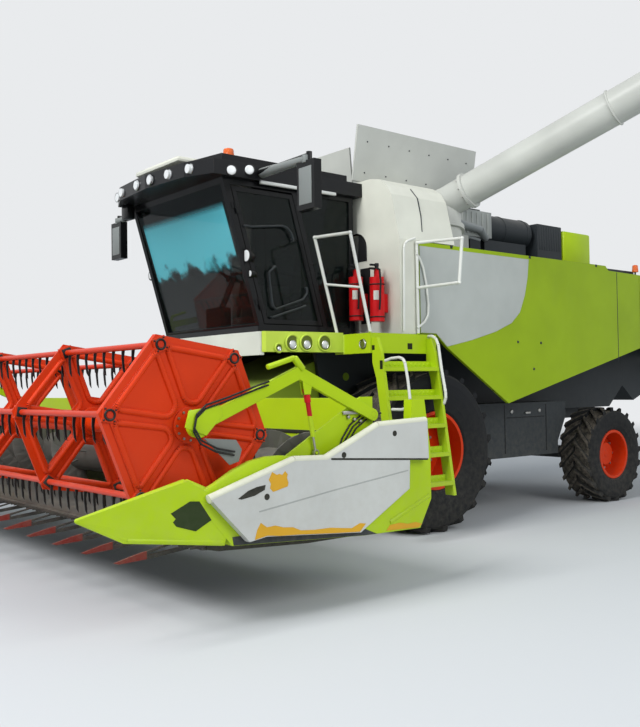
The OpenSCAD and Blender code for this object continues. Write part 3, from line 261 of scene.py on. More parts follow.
# The feeder house is painted a dark, dull green as painted shade for the shadow it stands in, and carries heavy
# straw dust
dress("feeder_house", enamel("feeder_shade_and_dust_enamel", "#7C9322", roughness=0.5, dust=0.5))
# Painted shade: below 0.8 m the header frame is painted nearly black, for the deep shadow over its floor pan up to
# the rear wall
dress("header_frame", enamel("header_enamel_with_floor_shade", "#B0CE12", dust=0.25, zones=[("#2A2822", "Z", 0, 0.80)]))
# Reel lift cylinders: green barrels with a red band at the top
dress("ram_barrels", enamel("ram_enamel", "#AECB1A", dust=0.25, zones=[("#B3131A", "Z", 1.40, 1.60)]))
# Green stringers and steps with white rails above the walkway, 2.17 m over the ground
dress("ladder", enamel("ladder_enamel", "#AECB1A", zones=[("#DDDFD8", "Z", 2.17, 5)]))
# White apron below the windscreen between two pale green lamp panels
APRON_X, PANEL_END_X = 1.079, 1.235
dress("fascia", enamel("fascia_enamel", "#AECB1A", zones=[
    ("#D9DCD2", "X", -APRON_X, APRON_X), ("#C2DA4E", "X", APRON_X, PANEL_END_X),
    ("#C2DA4E", "X", -PANEL_END_X, -APRON_X)]))
dress("cab_roof", enamel("roof_enamel", "#1A1B1D", roughness=0.25, dust=0.25))
# Knife bar with the lifters' dark red tips
dress("cutterbar", enamel("knife_enamel", "#3A3937", roughness=0.5, dust=0.4, zones=[("#8A2A22", "Y", -5, -4.24)]))
# Tine bars: orange tubes above black spring steel tines, which start under the tube's 43 mm
TUBE_DROP = 0.043
for number in range(1, 7):
    bar_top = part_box(f"tine_bar_{number}")[1][2]
    dress(f"tine_bar_{number}", enamel(f"tine_enamel_{number}", "#C4300C", dust=0.2,
                                       zones=[("#1C1D1F", "Z", 0, bar_top - TUBE_DROP)]))

# TYRES
# Vulcanised rubber with soot, dull black that greys as field dust sticks to it.
# Soil sticks to the tread but not to the sidewalls, in clods of about 50 mm.
rubber = enamel("tyre_rubber", "#15171A", roughness=0.75, dust=0.16, worn="#3A3833", wear=0.2)
tree = rubber.node_tree
shader = tree.nodes["Principled BSDF"]
bare = shader.inputs["Base Color"].links[0].from_socket
clods = add(tree, "ShaderNodeTexNoise", values={"Scale": 20, "Detail": 4, "Roughness": 0.7},
            links={"Vector": add(tree, "ShaderNodeTexCoord").outputs["Object"]})
caught = add(tree, "ShaderNodeMapRange", links={"Value": clods.outputs[0]},
             values={"From Min": 0.38, "From Max": 0.62, "To Min": 0.12, "To Max": 0.85})
facing = add(tree, "ShaderNodeSeparateXYZ", links={0: add(tree, "ShaderNodeNewGeometry").outputs["Normal"]})
sideways = add(tree, "ShaderNodeMath", operation="ABSOLUTE", links={0: facing.outputs["X"]})
tread = add(tree, "ShaderNodeMapRange", values={"From Min": 0.7, "From Max": 0.35},
            links={"Value": sideways.outputs[0]})
soiled = add(tree, "ShaderNodeMath", operation="MULTIPLY", links={0: caught.outputs[0], 1: tread.outputs[0]})
muddy = add(tree, "ShaderNodeMix", data_type="RGBA", values={"B": colour("#6E665A")},
            links={"A": bare, "Factor": soiled.outputs[0]})
tree.links.new(muddy.outputs["Result"], shader.inputs["Base Color"])
for node in ("tyre_front_left", "tyre_front_right", "tyre_rear_left", "tyre_rear_right"):
    dress(node, rubber)

# BRIGHT STEEL
# Ground and hard-chromed rods, with fine scratches that dull them in patches of some 15 mm.
# The auger is painted steel, darkened to a dull grey as painted shade for the shadow it lies in.
steel, tree, shader = fresh("polished_steel", "#A7A6A2", metallic=1)
scratches = add(tree, "ShaderNodeTexNoise", values={"Scale": 60, "Detail": 4},
                links={"Vector": add(tree, "ShaderNodeTexCoord").outputs["Object"]})
dull = add(tree, "ShaderNodeMapRange", values={"To Min": 0.25, "To Max": 0.5},
           links={"Value": scratches.outputs[0]})
tree.links.new(dull.outputs[0], shader.inputs["Roughness"])
for node in ("lift_rods", "ram_rods"):
    dress(node, steel)
# Painted shade: the auger's steel is darkened for the shadow it lies in, with worn edges
dress("intake_auger", enamel("auger_steel_painted_shade", "#5B5A55", roughness=0.38, dust=0.3, worn="#8E8B84", wear=0.5))

# GLASS AND LAMPS
# Tinted laminated glass in the cab, and clear lamp lenses. The windscreen carries a painted reflection of
# turquoise sky between a dark top edge and the clear lower part, which ends 60 mm short of the side posts.
glass, tree, shader = fresh("tinted_glass_with_painted_sky", "#121917", 0.02)
SKY_REFLECTION_HALF_WIDTH, SCREEN_REAR_Y = 0.84, -1.6
place = add(tree, "ShaderNodeTexCoord").outputs["Object"]
rise = add(tree, "ShaderNodeSeparateXYZ", links={0: place})
ragged = add(tree, "ShaderNodeTexNoise", values={"Scale": 5, "Detail": 5}, links={"Vector": place})
lifted = add(tree, "ShaderNodeMath", operation="MULTIPLY_ADD", values={1: 0.5},
             links={0: ragged.outputs[0], 2: rise.outputs["Z"]})
share = add(tree, "ShaderNodeMapRange", values={"From Min": 3.10, "From Max": 3.24},
            links={"Value": lifted.outputs[0]}, interpolation_type="SMOOTHSTEP")
for bound in (add(tree, "ShaderNodeMapRange", values={"From Min": 3.50, "From Max": 3.42},
                  links={"Value": rise.outputs["Z"]}),
              add(tree, "ShaderNodeMath", operation="COMPARE", values={1: 0.0, 2: SKY_REFLECTION_HALF_WIDTH},
                  links={0: rise.outputs["X"]}),
              add(tree, "ShaderNodeMath", operation="LESS_THAN", values={1: SCREEN_REAR_Y},
                  links={0: rise.outputs["Y"]})):
    share = add(tree, "ShaderNodeMath", operation="MULTIPLY", links={0: share.outputs[0], 1: bound.outputs[0]})
# Painted reflection: a turquoise band of sky mixed into the dark tint near the windscreen's top
tint_and_sky_reflection = add(tree, "ShaderNodeMix", data_type="RGBA", values={"A": colour("#121917"), "B": colour("#63CBDA")},
           links={"Factor": share.outputs[0]})
tree.links.new(tint_and_sky_reflection.outputs["Result"], shader.inputs["Base Color"])
shader.inputs["Specular IOR Level"].default_value = 0.25
shader.inputs["Alpha"].default_value = 0.6
for node in ("cab_glass", "door_glass"):
    dress(node, glass)
lens = fresh("lamp_lens", "#D9DCDC", 0.1)[0]
dress("cab_lamps", lens)

# SIDE PANEL PAINT
# The front corner of each side panel is covered by a sheet of the pale paint, 3 mm thick, over the green one; it
# is drawn grey as painted shade, since the panel faces away from the light.
# Round-headed screws hold the panel's skin to its frame, and a black grab bar hangs at the lower corner.


def slab(mesh, low, high):
    """Adds a block from its lowest to its highest corner."""
    size = [b - a for a, b in zip(low, high)]
    middle = [(a + b) / 2 for a, b in zip(low, high)]
    placed = Matrix.Translation(middle) @ Matrix.Diagonal((*size, 1))
    return bmesh.ops.create_cube(mesh, size=1, matrix=placed)["verts"]


def pole(mesh, start, end, radius, tip=None, sides=20):
    """Adds a round bar or cone between two points."""
    start, end = Vector(start), Vector(end)
    turn = (end - start).to_track_quat("Z", "Y").to_matrix().to_4x4()
    return bmesh.ops.create_cone(mesh, cap_ends=True, segments=sides, radius1=radius,
                                 radius2=radius if tip is None else tip, depth=(end - start).length,
                                 matrix=Matrix.Translation((start + end) / 2) @ turn)["verts"]


def sheet(mesh, outline, thick):
    """Adds a flat plate from its outline, pushed out along a vector."""
    face = mesh.faces.new([mesh.verts.new(p) for p in outline])
    raised = bmesh.ops.extrude_face_region(mesh, geom=[face])["geom"]
    verts = [g for g in raised if isinstance(g, bmesh.types.BMVert)]
    bmesh.ops.translate(mesh, vec=thick, verts=verts)


def tube(mesh, route, radius, sides=10):
    """Adds a bent round bar through a row of points."""
    for start, end in zip(route, route[1:]):
        pole(mesh, start, end, radius, sides=sides)


def piece(name, mesh, material, body, rounded=0.0):
    """Closes the mesh, rounds its edges and lets it ride on a body."""
    bmesh.ops.remove_doubles(mesh, verts=mesh.verts, dist=0.00005)
    if rounded:
        sharp = [e for e in mesh.edges if e.is_manifold and e.calc_face_angle(0) > 0.6]
        bmesh.ops.bevel(mesh, geom=sharp, offset=rounded, segments=2, profile=0.5, affect="EDGES", material=-1,
                        clamp_overlap=True)
    bmesh.ops.recalc_face_normals(mesh, faces=mesh.faces)
    data = bpy.data.meshes.new(name)
    mesh.to_mesh(data)
    mesh.free()
    data.materials.append(material)
    data.shade_smooth()
    data.set_sharp_from_angle(angle=math.radians(32))
    made = bpy.data.objects.new(name, data)
    bpy.context.scene.collection.objects.link(made)
    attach(made, body)
    return made


PANEL_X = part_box("side_panel_left")[1][0]
PAINT_THICK = 0.003
FRONT_PAINT = [(-0.196, 3.125), (-0.196, 2.178), (0.045, 2.176), (0.215, 2.035), (0.62, 2.115), (1.05, 2.225),
               (1.34, 2.335), (1.50, 2.47), (1.60, 2.68), (1.66, 2.90), (1.69, 3.125)]
PANEL_SCREWS = ((1.455, 2.111), (1.751, 1.787), (1.90, 2.108))
GRAB_BAR = ((1.0, 1.55), (1.10, 1.50), (1.62, 1.535), (1.66, 1.62))
SEAM_X = PANEL_X + 0.0005
pale_paint_in_shade = enamel("panel_pale_painted_shade_enamel", "#B4B9B4", dust=0.3)
for side, body in ((1, "side_panel_left"), (-1, "side_panel_right")):
    mesh = bmesh.new()
    sheet(mesh, [(side * PANEL_X, y, z) for y, z in FRONT_PAINT], (side * PAINT_THICK, 0, 0))
    piece(body + "_front_paint", mesh, pale_paint_in_shade, body)
    mesh = bmesh.new()
    # Upright seam of the rear section
    slab(mesh, (side * SEAM_X - 0.001, 3.585, 1.90), (side * SEAM_X + 0.001, 3.597, 3.10))
    for y, z in PANEL_SCREWS:
        pole(mesh, (side * PANEL_X, y, z), (side * (PANEL_X + 0.008), y, z), 0.018, 0.012, 12)
    piece(body + "_screws", mesh, graphite, body)
    mesh = bmesh.new()
    tube(mesh, [(side * (PANEL_X - 0.02), y, z) for y, z in GRAB_BAR], 0.012)
    piece(body + "_grab_bar", mesh, gloss_black, body)

# CAB ROOF AND ITS LAMPS
# A cream hatch and two amber beacons on the moulded roof, with twin lamps in round shells at its edges.
# A pale light strip runs below the roof's left edge, and a lamp pod hangs at the right corner.


def twin(mesh):
    """Adds the mirror image on the machine's right."""
    bmesh.ops.mirror(mesh, geom=mesh.verts[:] + mesh.edges[:] + mesh.faces[:], axis="X", merge_dist=0)


def ribbed_plastic(name, code, bands, axis, depth):
    """Clear moulded plastic with fine ribs across one axis."""
    material, tree, shader = fresh(name, code, 0.15)
    ribs = add(tree, "ShaderNodeTexWave", values={"Scale": bands}, bands_direction=axis,
               links={"Vector": add(tree, "ShaderNodeTexCoord").outputs["Object"]})
    moulded = add(tree, "ShaderNodeBump", values={"Strength": 0.4, "Distance": depth},
                  links={"Height": ribs.outputs[0]})
    tree.links.new(moulded.outputs[0], shader.inputs["Normal"])
    return material


amber = ribbed_plastic("amber_polycarbonate", "#E0641E", 40, "Z", 0.004)
BEACON_SPOTS = ((0.70, -2.03), (-0.70, -2.03))
mesh = bmesh.new()
for x, y in BEACON_SPOTS:
    pole(mesh, (x, y, 3.93), (x, y, 4.0), 0.06)
piece("beacon_sockets", mesh, gloss_black, "machine", 0.006)
mesh = bmesh.new()
for x, y in BEACON_SPOTS:
    pole(mesh, (x, y, 4.0), (x, y, 4.09), 0.062, 0.052)
piece("beacons", mesh, amber, "machine", 0.014)
mesh = bmesh.new()
slab(mesh, (-0.52, -2.47, 3.955), (0.42, -0.66, 4.018))
piece("roof_hatch", mesh, cream, "machine", 0.03)
# Two bright lamps sit in round shells on the roof's left edge, with their twins at the right
EDGE_LAMPS = ((-2.214, 3.771), (-1.999, 3.806))
mesh = bmesh.new()
for y, z in EDGE_LAMPS:
    pole(mesh, (1.02, y, z), (1.050, y - 0.012, z), 0.058, 0.062, 24)
twin(mesh)
piece("edge_lamp_shells", mesh, gloss_black, "machine", 0.006)
mesh = bmesh.new()
for y, z in EDGE_LAMPS:
    pole(mesh, (1.050, y - 0.012, z), (1.058, y - 0.015, z), 0.050, 0.040, 24)
twin(mesh)
piece("edge_lamp_lenses", mesh, lens, "machine", 0.006)
mesh = bmesh.new()
slab(mesh, (1.0, -1.86, 3.690), (1.036, -0.86, 3.725))
strip_paint = enamel("strip_enamel", "#D4D6D2", roughness=0.3, dust=0.1)
piece("roof_light_strip", mesh, strip_paint, "machine", 0.008)
mesh = bmesh.new()
slab(mesh, (-1.0, -2.40, 3.56), (-0.84, -2.30, 3.72))
piece("corner_lamp_pod", mesh, gloss_black, "machine", 0.02)
# Round lamps on brackets ahead of the door posts: a large one with a small one below it
mesh = bmesh.new()
for x, y, z, r in ((0.985, -2.010, 2.945, 0.078), (0.965, -1.955, 2.770, 0.045), (-1.01, -2.010, 2.955, 0.065)):
    pole(mesh, (x, y - 0.01, z), (x, y + 0.07, z), r, r * 0.6, 24)
    pole(mesh, (x, y + 0.05, z), (x * 0.97, y + 0.09, z - 0.05), 0.018, sides=10)
piece("post_lamp_shells", mesh, gloss_black, "machine", 0.006)
mesh = bmesh.new()
for x, y, z, r in ((0.985, -2.022, 2.945, 0.070), (0.965, -1.967, 2.770, 0.038), (-1.01, -2.022, 2.955, 0.058)):
    pole(mesh, (x, y, z), (x, y + 0.014, z), r * 0.8, r, 24)
piece("post_lamp_lenses", mesh, lens, "machine", 0.004)

# MIRRORS
# Moulded black shells with a convex glass hang on tube arms from the roof's edge.
# Their back covers and the covers of the arms are of grey plastic.
mesh = bmesh.new()
slab(mesh, (1.850, -2.006, 3.31), (2.040, -1.998, 3.66))
twin(mesh)
mirror_grey = enamel("mirror_grey_plastic", "#7D8280", roughness=0.4, dust=0.3)
piece("mirror_back_covers", mesh, mirror_grey, "machine", 0.02)
# Grey arm covers, thick at the roof and thin at the mirror's pivot
mesh = bmesh.new()
for side in (1, -1):
    pole(mesh, (side * 1.02, -1.84, 3.80), (side * 1.93, -1.985, 3.735), 0.052, 0.034, 16)
    pole(mesh, (side * 1.93, -1.985, 3.775), (side * 1.93, -1.985, 3.70), 0.030, sides=16)
piece("mirror_arm_covers", mesh, mirror_grey, "machine", 0.006)

# CAB DOOR RAILS
# Painted tube rails on the door: a bent grab rail at shoulder height and a round-cornered guard at the foot.
# Short studs hold their ends to the door's frame.
DOOR_X, STUD_ROOT_X = 0.985, 0.945
GRAB_RAIL = ((-2.02, 3.25), (-1.95, 3.245), (-1.56, 3.295), (-1.50, 3.280), (-1.45, 3.235), (-1.42, 3.16))
FOOT_GUARD = ((-1.66, 2.86), (-1.74, 2.80), (-1.735, 2.74), (-1.70, 2.46), (-1.66, 2.42), (-1.30, 2.54),
              (-1.25, 2.60), (-1.245, 2.66))
FOOT_BAR = ((-1.70, 2.335), (-1.27, 2.47))
mesh = bmesh.new()
for route, radius in ((GRAB_RAIL, 0.012), (FOOT_GUARD, 0.011), (FOOT_BAR, 0.012)):
    tube(mesh, [(DOOR_X, y, z) for y, z in route], radius)
    for y, z in (route[0], route[-1]):
        pole(mesh, (STUD_ROOT_X, y, z), (DOOR_X, y, z), 0.014, sides=10)
piece("door_rails", mesh, graphite, "cab_door")

# CAB FITTINGS
# Grey cloth on the seat's cushions, an armrest with a lever, a small screen on a stalk, and a control box.
# All show through the tinted glass, as does the steering wheel of the CAD model.
cloth, tree, shader = fresh("seat_cloth", "#4A4D52", 0.9)
woven = add(tree, "ShaderNodeTexVoronoi", values={"Scale": 90},
            links={"Vector": add(tree, "ShaderNodeTexCoord").outputs["Object"]})
threads = add(tree, "ShaderNodeBump", values={"Strength": 0.5, "Distance": 0.004},
              links={"Height": woven.outputs["Distance"]})
tree.links.new(threads.outputs[0], shader.inputs["Normal"])
# Each cushion is crowned and pulls in between its corners, with a sunk seam across its middle.
# Its lowest and highest corner are followed by the axis that its crown looks along.
CUSHIONS = (((-0.25, -1.29, 2.684), (0.25, -0.83, 2.75), 2), ((-0.24, -0.86, 2.78), (0.24, -0.79, 3.12), 1),
            ((-0.17, -0.775, 3.16), (0.17, -0.705, 3.36), 1))
CROWN, PULL, SEAM_DEPTH, SEAM_WIDTH = 0.045, 0.012, 0.35, 0.10
mesh = bmesh.new()
for low, high, face in CUSHIONS:
    verts = slab(mesh, low, high)
    edges = list({e for v in verts for e in v.link_edges})
    made = bmesh.ops.subdivide_edges(mesh, edges=edges, cuts=9, use_grid_fill=True)["geom"]
    verts = [v for v in {g for g in made if isinstance(g, bmesh.types.BMVert)} | set(verts) if v.is_valid]
    middle = [(a + b) / 2 for a, b in zip(low, high)]
    half = [(b - a) / 2 for a, b in zip(low, high)]
    other, outer = (1, 1) if face == 2 else (2, -1)
    for v in verts:
        u = [(v.co[i] - middle[i]) / half[i] for i in range(3)]
        crown = max(0, 1 - u[0] ** 2) * max(0, 1 - u[other] ** 2)
        seam = SEAM_DEPTH * math.exp(-(u[other] / SEAM_WIDTH) ** 2)
        if u[face] * outer > 0.5:
            v.co[face] += outer * CROWN * (crown ** 0.5 - seam * crown)
        v.co[0] -= PULL * u[0] * (1 - u[other] ** 2) * half[0] / 0.25
    for _ in range(2):
        bmesh.ops.smooth_vert(mesh, verts=verts, factor=0.5, use_axis_x=True, use_axis_y=True, use_axis_z=True)
piece("seat_cushions", mesh, cloth, "machine")
mesh = bmesh.new()
slab(mesh, (-0.42, -1.36, 2.86), (-0.31, -0.86, 2.92))
slab(mesh, (0.30, -1.14, 2.88), (0.37, -0.86, 2.92))
slab(mesh, (-0.48, -1.60, 2.96), (-0.455, -1.36, 3.14))
pole(mesh, (-0.37, -1.30, 2.92), (-0.36, -1.33, 3.04), 0.016)
pole(mesh, (-0.40, -1.20, 2.45), (-0.38, -1.15, 2.87), 0.024)
pole(mesh, (0.34, -0.98, 2.56), (0.335, -0.98, 2.89), 0.018)
pole(mesh, (-0.41, -1.34, 2.90), (-0.46, -1.44, 3.00), 0.014)
slab(mesh, (0.55, -1.00, 2.34), (0.85, -0.75, 2.70))
cab_grey = enamel("cab_grey_plastic", "#3B3E41", roughness=0.6, dust=0.2, wear=0.1)
piece("armrest_and_screen", mesh, cab_grey, "machine", 0.01)

# LAMP PANELS AT THE CAB'S FOOT
# Each round lamp sits in a dark pressed pocket with a bright bezel and a domed clear lens.
# The lenses' bezels on the roof's visor are of the same bright metal.


def hoop(mesh, centre, axis, radius, thick, sides=28):
    """Adds a round ring about an axis."""
    turn = Vector(axis).to_track_quat("Z", "Y").to_matrix().to_4x4()
    upright = Matrix.Translation((radius, 0, 0)) @ Matrix.Rotation(math.pi / 2, 4, "X")
    ring = bmesh.ops.create_circle(mesh, segments=8, radius=thick, matrix=upright)
    bmesh.ops.spin(mesh, geom=ring["verts"] + list({e for v in ring["verts"] for e in v.link_edges}),
                   cent=(0, 0, 0), axis=(0, 0, 1), angle=2 * math.pi, steps=sides, use_merge=True)
    verts = set(ring["verts"])
    grown = set(verts)
    while grown:
        grown = {e.other_vert(v) for v in grown for e in v.link_edges} - verts
        verts |= grown
    bmesh.ops.transform(mesh, matrix=Matrix.Translation(centre) @ turn, verts=list(verts))


chrome, tree, shader = fresh("chromed_steel", "#C9CACB", metallic=1)
haze = add(tree, "ShaderNodeTexNoise", values={"Scale": 30, "Detail": 3},
           links={"Vector": add(tree, "ShaderNodeTexCoord").outputs["Object"]})
worn_chrome = add(tree, "ShaderNodeMapRange", values={"To Min": 0.12, "To Max": 0.3},
                  links={"Value": haze.outputs[0]})
tree.links.new(worn_chrome.outputs[0], shader.inputs["Roughness"])
pocket = enamel("pocket_plastic", "#5E6B22", roughness=0.5, dust=0.2)
# Lamp: Y, Z, X of the panel there, and the lamp's radius
LAMP_SPOTS = [(-1.594, 2.063, 1.173, 0.072), (-1.428, 2.065, 1.196, 0.072), (-1.199, 2.068, 1.208, 0.072),
              (-1.745, 2.010, 1.143, 0.034)]
mesh = bmesh.new()
for y, z, x, r in LAMP_SPOTS:
    pole(mesh, (x - 0.03, y, z), (x + 0.008, y, z), r + 0.012, r + 0.004, 28)
pole(mesh, (1.534, -0.944, 2.047), (1.534, -0.958, 2.047), 0.058, 0.052, 24)
twin(mesh)
piece("lamp_pockets", mesh, pocket, "machine", 0.004)
mesh = bmesh.new()
for y, z, x, r in LAMP_SPOTS:
    hoop(mesh, (x + 0.010, y, z - r * 0.25), (1, 0, 0), r * 0.56, 0.005)
hoop(mesh, (1.534, -0.960, 2.047), (0, -1, 0), 0.044, 0.006)
twin(mesh)
# The visor's front sweeps back from the middle to its sides
for x in (-0.880, -0.620, -0.200, 0.110, 0.430, 0.760):
    hoop(mesh, (x, -2.645 + abs(x) * 0.16, 3.795), (0, -1, 0), 0.050, 0.007)
piece("lamp_bezels", mesh, chrome, "machine")
mesh = bmesh.new()
for y, z, x, r in LAMP_SPOTS:
    pole(mesh, (x + 0.006, y, z - r * 0.25), (x + 0.020, y, z - r * 0.25), r * 0.54, r * 0.40, 24)
twin(mesh)
piece("foot_lamp_lenses", mesh, lens, "machine", 0.005)
mesh = bmesh.new()
for y, z, x, r in LAMP_SPOTS:
    hoop(mesh, (x + 0.004, y, z), (1, 0, 0), r + 0.010, 0.010)
twin(mesh)
piece("lamp_collars", mesh, enamel("panel_pale_enamel", "#C2DA4E", dust=0.2), "machine")

# TANK FRONT
# Cream pressings round the front of the grain tank: a dark slit between two sheets and the black trim of
# the arched opening. The grey flaps above them are screwed to their hinge rails.
# The slit follows the shoulder from the flap down to the walkway
SLIT = [(1.429, -0.118, 3.786), (1.505, -0.085, 3.673), (1.552, -0.084, 3.474), (1.592, -0.112, 3.29)]
mesh = bmesh.new()
tube(mesh, SLIT, 0.007, 8)
piece("tank_front_slit", mesh, graphite, "machine")
# Two rows of screws on the outer face of each flap, which leans out by ten degrees and folds with them
FLAP_FOOT_X, FLAP_FOOT_Z, FLAP_LEAN = 0.944, 3.925, math.radians(10)
for side, flap in ((1, "flap_left"), (-1, "flap_right")):
    mesh = bmesh.new()
    for y in (-0.38, -0.05, 0.28, 0.61, 0.94, 1.27):
        for rise in (0.10, 0.44):
            face, z = FLAP_FOOT_X + math.tan(FLAP_LEAN) * rise, FLAP_FOOT_Z + rise
            pole(mesh, (side * face, y, z), (side * (face + 0.007), y, z), 0.009, 0.007, 10)
    piece(f"{flap}_screws", mesh, graphite, flap)
# Half-round top of the opening on two straight legs: middle's X and Z, radius, foot
ARCH_X, ARCH_Z, ARCH_R, ARCH_FOOT = 0.92, 3.15, 0.165, 3.0
turns = [math.radians(a) for a in range(0, 181, 15)]
ARCH = [(ARCH_X + ARCH_R, ARCH_FOOT)] \
    + [(ARCH_X + ARCH_R * math.cos(a), ARCH_Z + ARCH_R * math.sin(a)) for a in turns] \
    + [(ARCH_X - ARCH_R, ARCH_FOOT)]
mesh = bmesh.new()
tube(mesh, [(x, -0.484, z) for x, z in ARCH], 0.010, 8)
piece("arch_trim", mesh, gloss_black, "machine")
# Painted shade: near-black sheets stand for the shade inside the arched opening and in the pressed recess behind
# the first extinguisher
RECESS_Y, RECESS_THICK = -0.4815, (0, -0.003, 0)
mesh = bmesh.new()
for outline in ([p for p in ARCH if p[0] > 0.94] + [(0.945, ARCH_FOOT)],
                [(0.985, 2.92), (1.145, 2.92), (1.150, 2.30), (0.985, 2.30)]):
    sheet(mesh, [(x, RECESS_Y, z) for x, z in outline], RECESS_THICK)
shadow = enamel("recess_shadow_enamel", "#1D1E1F", roughness=0.6, dust=0.2)
piece("tank_front_recess_shade", mesh, shadow, "machine")

# UNLOADING AUGER BANDS
# A bolted flange joins the elbow to the tube, and two more rings stiffen the tube along its length.
# It rises by 20.4 degrees, and is swung back by 14.7 degrees from straight out to the left.
KNEE = Vector((1.15, 0.72, 3.765))
TUBE_RISE, TUBE_SWING = math.radians(20.4), math.radians(14.7)
ALONG = Vector((math.cos(TUBE_RISE) * math.cos(TUBE_SWING), math.cos(TUBE_RISE) * math.sin(TUBE_SWING),
                math.sin(TUBE_RISE)))
ACROSS = ALONG.cross(Vector((0, 0, 1))).normalized()
OVER = ACROSS.cross(ALONG)
mesh = bmesh.new()
for reach in (0.345, 2.2, 3.9):
    hoop(mesh, KNEE + ALONG * reach, ALONG, 0.196, 0.012, 36)
piece("auger_tube_bands", mesh, cream_in_shade, "unloading_tube")
mesh = bmesh.new()
for step in range(12):
    angle = math.radians(30 * step)
    spot = KNEE + ALONG * 0.328 + (ACROSS * math.cos(angle) + OVER * math.sin(angle)) * 0.205
    pole(mesh, spot, spot - ALONG * 0.014, 0.012, sides=6)
piece("auger_flange_bolts", mesh, steel, "unloading_tube")

# FIRE EXTINGUISHERS
# Red bottles with a black valve and two handles, a discharge hose at the side and a bare white label.
# Two dark clamps hold each bottle to the front of the tank.
label = enamel("bare_label_vinyl", "#D7D6CF", roughness=0.4, dust=0.05)
rubber_hose = enamel("hose_rubber", "#17181A", roughness=0.55, dust=0.3, wear=0.1)
LABEL_R, LABEL_FACES = 0.0785, Matrix.Diagonal((0.0015, 0.0200, 0.10, 1))
HOSE = [(0.03, -0.02, 0.57), (0.10, -0.05, 0.55), (0.115, -0.05, 0.42), (0.10, -0.05, 0.20), (0.09, -0.05, 0.12)]
for number, (x, y, z) in enumerate(((1.062, -0.622, 2.33), (1.380, -0.600, 2.30)), 1):
    mesh = bmesh.new()
    for turn in (-14, 0, 14):
        angle = math.radians(-50 + turn)
        at = (x + LABEL_R * math.cos(angle), y + LABEL_R * math.sin(angle), z + 0.28)
        turned = Matrix.Translation(at) @ Matrix.Rotation(angle, 4, "Z")
        bmesh.ops.create_cube(mesh, size=1, matrix=turned @ LABEL_FACES)
    piece(f"extinguisher_{number}_label", mesh, label, "machine")
    mesh = bmesh.new()
    # Two squeezed handles over the valve's neck, two clamps round the bottle, and the hose at its side
    slab(mesh, (x - 0.014, y - 0.10, z + 0.56), (x + 0.014, y + 0.02, z + 0.58))
    slab(mesh, (x - 0.014, y - 0.09, z + 0.60), (x + 0.014, y + 0.02, z + 0.62))
    pole(mesh, (x, y, z + 0.54), (x, y, z + 0.63), 0.022, sides=14)
    for rise in (0.05, 0.40):
        hoop(mesh, (x, y, z + rise), (0, 0, 1), 0.080, 0.007)
    tube(mesh, [(x + a, y + b, z + c) for a, b, c in HOSE], 0.011)
    piece(f"extinguisher_{number}_valve", mesh, rubber_hose, "machine")

# LADDER DETAILS
# White hand loops beside the steps, raised anti-slip dimples on the treads, and slots in the front stringer.
# A folded kick plate with drained holes stands behind each tread.
INNER = [(1.84, 1.865), (1.93, 1.885), (2.04, 1.89), (2.095, 1.875), (2.125, 1.833), (2.161, 1.664),
         (2.186, 1.478), (2.178, 1.43), (2.145, 1.392), (2.07, 1.372), (1.93, 1.372)]
OUTER = [(1.625, 1.993), (1.600, 2.06), (1.612, 2.11), (1.65, 2.140), (1.71, 2.140), (1.765, 2.11),
         (1.800, 2.04), (1.842, 1.77), (1.893, 1.534), (1.895, 1.47), (1.868, 1.415), (1.81, 1.374),
         (1.745, 1.36)]
# A second upright with a bent top stands beside the walkway's rail, and a bowed grab hangs behind it
UPRIGHT = [(-0.459, 2.19), (-0.440, 3.08), (-0.425, 3.125), (-0.385, 3.16), (-0.27, 3.20)]
BOWED = [(-0.27, 3.03), (-0.22, 2.985), (-0.165, 2.88), (-0.125, 2.72), (-0.095, 2.48), (-0.106, 2.37),
         (-0.16, 2.295), (-0.27, 2.225)]
mesh = bmesh.new()
tube(mesh, [(x, -0.925, z) for x, z in INNER], 0.015)
tube(mesh, [(x, -0.105, z) for x, z in OUTER], 0.016)
tube(mesh, [(1.64, y, z) for y, z in UPRIGHT], 0.013)
tube(mesh, [(1.655, y, z) for y, z in BOWED], 0.013)
tube(mesh, [(1.103, -1.08, 2.70), (1.640, -1.065, 2.62)], 0.013)
piece("hand_loops", mesh, enamel("rail_enamel", "#DDDFD8", dust=0.15), "machine")
# Each tread: its height and the X of its back edge
TREADS = ((0.58, 1.90), (0.88, 1.86), (1.18, 1.81), (1.48, 1.765), (1.78, 1.71))
mesh = bmesh.new()
for level, back in TREADS:
    for row in range(3):
        for hole in range(13):
            x, y = back + 0.02 + row * 0.03, -0.85 + hole * 0.056
            pole(mesh, (x, y, level + 0.0195), (x, y, level + 0.0225), 0.009, 0.007, 8)
piece("tread_dimples", mesh, green, "machine")
mesh = bmesh.new()
for level, back in TREADS:
    slab(mesh, (back - 0.004, -0.905, level - 0.018), (back + 0.002, -0.125, level + 0.085))
    for hole in range(12):
        y, z = -0.86 + hole * 0.062, level + 0.052
        pole(mesh, (back + 0.002, y, z), (back + 0.007, y, z), 0.020, 0.014, 10)
piece("tread_kick_plates", mesh, green, "machine")
# Painted shade: thin near-black sheets stand for the shade in the stringer's slots
mesh = bmesh.new()
slab(mesh, (1.765, -0.932, 1.78), (1.805, -0.929, 1.87))
slab(mesh, (1.640, -0.932, 1.98), (1.69, -0.929, 2.03))
slab(mesh, (1.6495, -0.42, 1.995), (1.6515, -0.35, 2.06))
piece("stringer_slot_shade", mesh, enamel("shadow_enamel", "#1B2109", roughness=0.6), "machine")

# SIDE LOCKER FITTINGS
# Folded steel doors with dark seams stand on both sides below the panels.
# Each has two round catches of bright steel with a pull handle between them.
LOCKER_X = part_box("side_lockers")[1][0]
mesh = bmesh.new()
